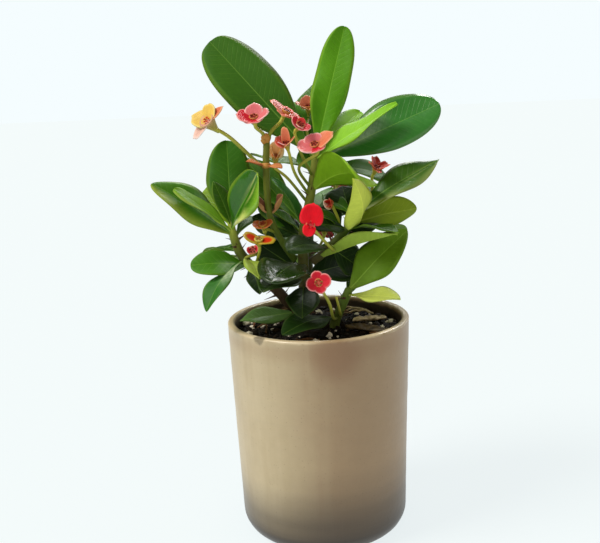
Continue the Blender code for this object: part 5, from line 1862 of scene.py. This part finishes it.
@dataclass(frozen=True)
class DryLeaf:
    """A curled dead leaf that lies on the soil."""

    name: str
    middle: tuple[float, float]
    turn: float
    length: float
    width: float
    dark: Colour = (112, 84, 56)
    pale: Colour = (176, 152, 112)

    ROWS = 34
    HALF_COLUMNS = 7
    HALF_THICKNESS = 0.35
    CLEAR = 0.8

    def covers(self, x: float, y: float) -> bool:
        """Whether a place lies under the leaf or close to it."""
        return math.hypot(x - self.middle[0], y - self.middle[1]) < 0.5 * self.length + 3

    def build(self, soil: Soil) -> None:
        """Builds and dresses the dead leaf in place of its solid.

        Args:
            soil: What it lies on.
        """
        ahead = np.array((math.cos(self.turn), math.sin(self.turn), 0.0))
        side = np.array((-math.sin(self.turn), math.cos(self.turn), 0.0))
        x, top, _ = blade_ring(self.HALF_COLUMNS)
        rings, tints = [], []
        for y in np.linspace(-1, 1, self.ROWS + 1):
            for across, face in zip(x, top):
                over = across * math.sqrt(1 - y * y / 2)
                forward = y * math.sqrt(1 - across * across / 2)
                ragged = 1 + 0.08 * noise.noise(Vector((forward * 4, over * 4, self.length)))
                flat = np.array((*self.middle, 0.0)) + ahead * forward * self.length / 2
                flat = flat + side * over * self.width / 2 * ragged
                lift = self.bed(soil, *flat[:2]) + self.CLEAR + 0.2 * self.width * over**2
                crumple = noise.noise(Vector((forward * 3, over * 2, self.turn * 9)))
                lift += 0.03 * self.length * forward**2 + 0.35 * crumple
                body = face * self.HALF_THICKNESS * (1 + 0.5 * math.exp(-((over / 0.12) ** 2)))
                rings.append((flat[0], flat[1], lift + body))
                spot = noise.noise(Vector((forward * 5, over * 3, self.width)))
                rib = math.exp(-((over / 0.10) ** 2))
                tints.append(blended(self.dark, self.pale, np.clip(0.5 + 0.8 * spot + 0.4 * rib, 0, 1)))
        shape = (self.ROWS + 1, len(x), 3)
        draft = MeshDraft()
        draft.add_rings(np.array(rings).reshape(shape), values={Skin.TINT: np.array(tints).reshape(shape)})
        settle(draft.build(f"{self.name}_curl", [DEAD.material()]), "dead_leaf", self.name)

    def bed(self, soil: Soil, x: float, y: float) -> float:
        """The highest soil within a few millimetres."""
        return max(soil.top(x + i * 3, y + j * 3) for i in (-1, 0, 1) for j in (-1, 0, 1))


DRY_LEAVES = (
    DryLeaf("dry_leaf_near", (27, -14), -0.3, 26, 9, dark=(50, 42, 26), pale=(96, 80, 50)),
    DryLeaf("dry_leaf_far", (29, 6), 0.5, 22, 8, dark=(138, 122, 88), pale=(204, 188, 150)),
    DryLeaf("dry_leaf_left", (-22, 22), 2.6, 24, 8),
)


@dataclass(frozen=True)
class Lamp:
    """A soft box that looks at the plant and shows only in its gloss."""

    name: str
    place: Place
    size: tuple[float, float]
    power: float

    def build(self, target: Vector) -> None:
        """Makes the lamp, turned to its target."""
        light = bpy.data.lights.new(self.name, "AREA")
        light.shape = "RECTANGLE"
        light.size, light.size_y = self.size
        light.energy = self.power
        thing = placed(self.name, light)
        thing.location = self.place
        thing.rotation_euler = (target - Vector(self.place)).to_track_quat("-Z", "Y").to_euler()
        thing.visible_diffuse = False


@dataclass(frozen=True)
class Studio:
    """The camera at the photograph's viewpoint, the pale floor and the soft light, in metres and degrees.

    The floor is drawn mostly by its own glow, so that it meets the backdrop without a line.
    """

    camera_place: Place = (0.0, -0.423, 0.2345)
    yaw: float = -1.2
    pitch: float = 11.9
    roll: float = -2.45
    focal_length_px: float = 790.7
    image_width_px: float = 600.0
    sensor_width: float = 36.0
    floor_size: float = 60.0
    floor_paint: float = 0.14
    floor_glow: float = 0.84
    backdrop: Colour = (245, 253, 255)
    bounce: Colour = (255, 246, 228)
    ambient: float = 0.52
    reflected: float = 0.12
    sun_strength: float = 2.4
    sun_spread: float = 24.0
    sun_colour: Colour = (255, 250, 238)
    sun_way: Place = (0.62, 0.22, -0.75)
    target: Place = (0.0, 0.0, 0.17)
    lamps: tuple[Lamp, ...] = (
        Lamp("window_above", (0.08, 0.66, 0.90), (0.55, 0.26), 10.0),
        Lamp("window_right", (0.50, 0.52, 0.84), (0.24, 0.34), 8.0),
        Lamp("window_left", (-0.50, -0.40, 0.93), (0.26, 0.30), 4.5),
        Lamp("edge_right", (0.75, 0.75, 0.25), (0.16, 0.90), 2.0),
    )

    def build_camera(self) -> None:
        """Places the camera and makes it the scene's."""
        yaw, pitch, roll = (math.radians(a) for a in (self.yaw, self.pitch, self.roll))
        ahead = Vector((math.sin(yaw) * math.cos(pitch), math.cos(yaw) * math.cos(pitch), -math.sin(pitch)))
        right = Vector((math.cos(yaw), -math.sin(yaw), 0.0))
        up = right.cross(ahead)
        leaned_right = right * math.cos(roll) + up * math.sin(roll)
        leaned_up = up * math.cos(roll) - right * math.sin(roll)
        data = bpy.data.cameras.new("camera")
        data.sensor_width = self.sensor_width
        data.lens = self.focal_length_px / self.image_width_px * self.sensor_width
        data.clip_start = 0.01
        camera = placed("camera", data)
        matrix = Matrix((leaned_right, leaned_up, -ahead)).transposed().to_4x4()
        matrix.translation = Vector(self.camera_place)
        camera.matrix_world = matrix
        bpy.context.scene.camera = camera

    def build_floor(self) -> None:
        """A wide pale floor that fades into the backdrop, with a soft shadow on it."""
        half = self.floor_size / 2
        mesh = bpy.data.meshes.new("floor")
        square = [(-half, -half, 0), (half, -half, 0), (half, half, 0), (-half, half, 0)]
        mesh.from_pydata(square, [], [(0, 1, 2, 3)])
        g = Graph(bpy.data.materials.new("pale_floor"))
        matt = g.add("BsdfDiffuse", {"Color": (*(paint(self.backdrop) * self.floor_paint), 1.0)})
        glow = g.add("Emission", {"Color": srgb(self.backdrop), "Strength": self.floor_glow})
        both = g.add("AddShader", {0: matt.outputs[0], 1: glow.outputs[0]})
        g.add("OutputMaterial", {"Surface": both.outputs[0]})
        mesh.materials.append(g.owner)
        placed("floor", mesh)

    def build_world(self) -> None:
        """A backdrop of one pale colour that lights the plant more weakly than it looks."""
        g = Graph(bpy.data.worlds.new("backdrop"))
        path = g.add("LightPath", {})
        seen = path.outputs["Is Camera Ray"]
        mirrored = path.outputs["Is Glossy Ray"]
        weak = g.add("MapRange", {"Value": mirrored, "To Min": self.ambient, "To Max": self.reflected})
        strength = g.add("MapRange", {"Value": seen, "To Min": weak.outputs["Result"], "To Max": 1.0})
        colour = g.mix(seen, srgb(self.bounce), srgb(self.backdrop))
        light = g.add("Background", {"Color": colour, "Strength": strength.outputs["Result"]})
        g.add("OutputWorld", {"Surface": light.outputs["Background"]})
        bpy.context.scene.world = g.owner

    def build_sun(self) -> None:
        """The broad soft key light from the upper left."""
        light = bpy.data.lights.new("soft_key", "SUN")
        light.energy = self.sun_strength
        light.angle = math.radians(self.sun_spread)
        light.color = paint(self.sun_colour)
        sun = placed("soft_key", light)
        sun.rotation_euler = Vector(self.sun_way).to_track_quat("-Z", "Y").to_euler()

    def build(self) -> None:
        """Sets up the whole studio."""
        self.build_camera()
        self.build_floor()
        self.build_world()
        self.build_sun()
        for lamp in self.lamps:
            lamp.build(Vector(self.target))
        bpy.context.scene.view_settings.view_transform = "Standard"
        log.info("studio: camera, floor, backdrop, key and %d soft boxes", len(self.lamps))


def corners(box: tuple[Vector, Vector]) -> list[list[float]]:
    """A box's two corners as plain lists."""
    return [list(corner) for corner in box]


def main() -> None:
    """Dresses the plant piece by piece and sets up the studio."""
    logging.basicConfig(level=logging.INFO, format="%(name)s: %(message)s")
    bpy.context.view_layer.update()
    pot = Pot()
    soil = Soil(pot)
    pot.build()
    soil.build()
    for dry_leaf in DRY_LEAVES:
        dry_leaf.build(soil)
    for shoot in SHOOTS:
        shoot.build()
    for name, bloom in BLOOMS.items():
        bloom.build(name)
    Studio().build()
    bpy.context.view_layer.update()


if __name__ == "__main__":
    main()
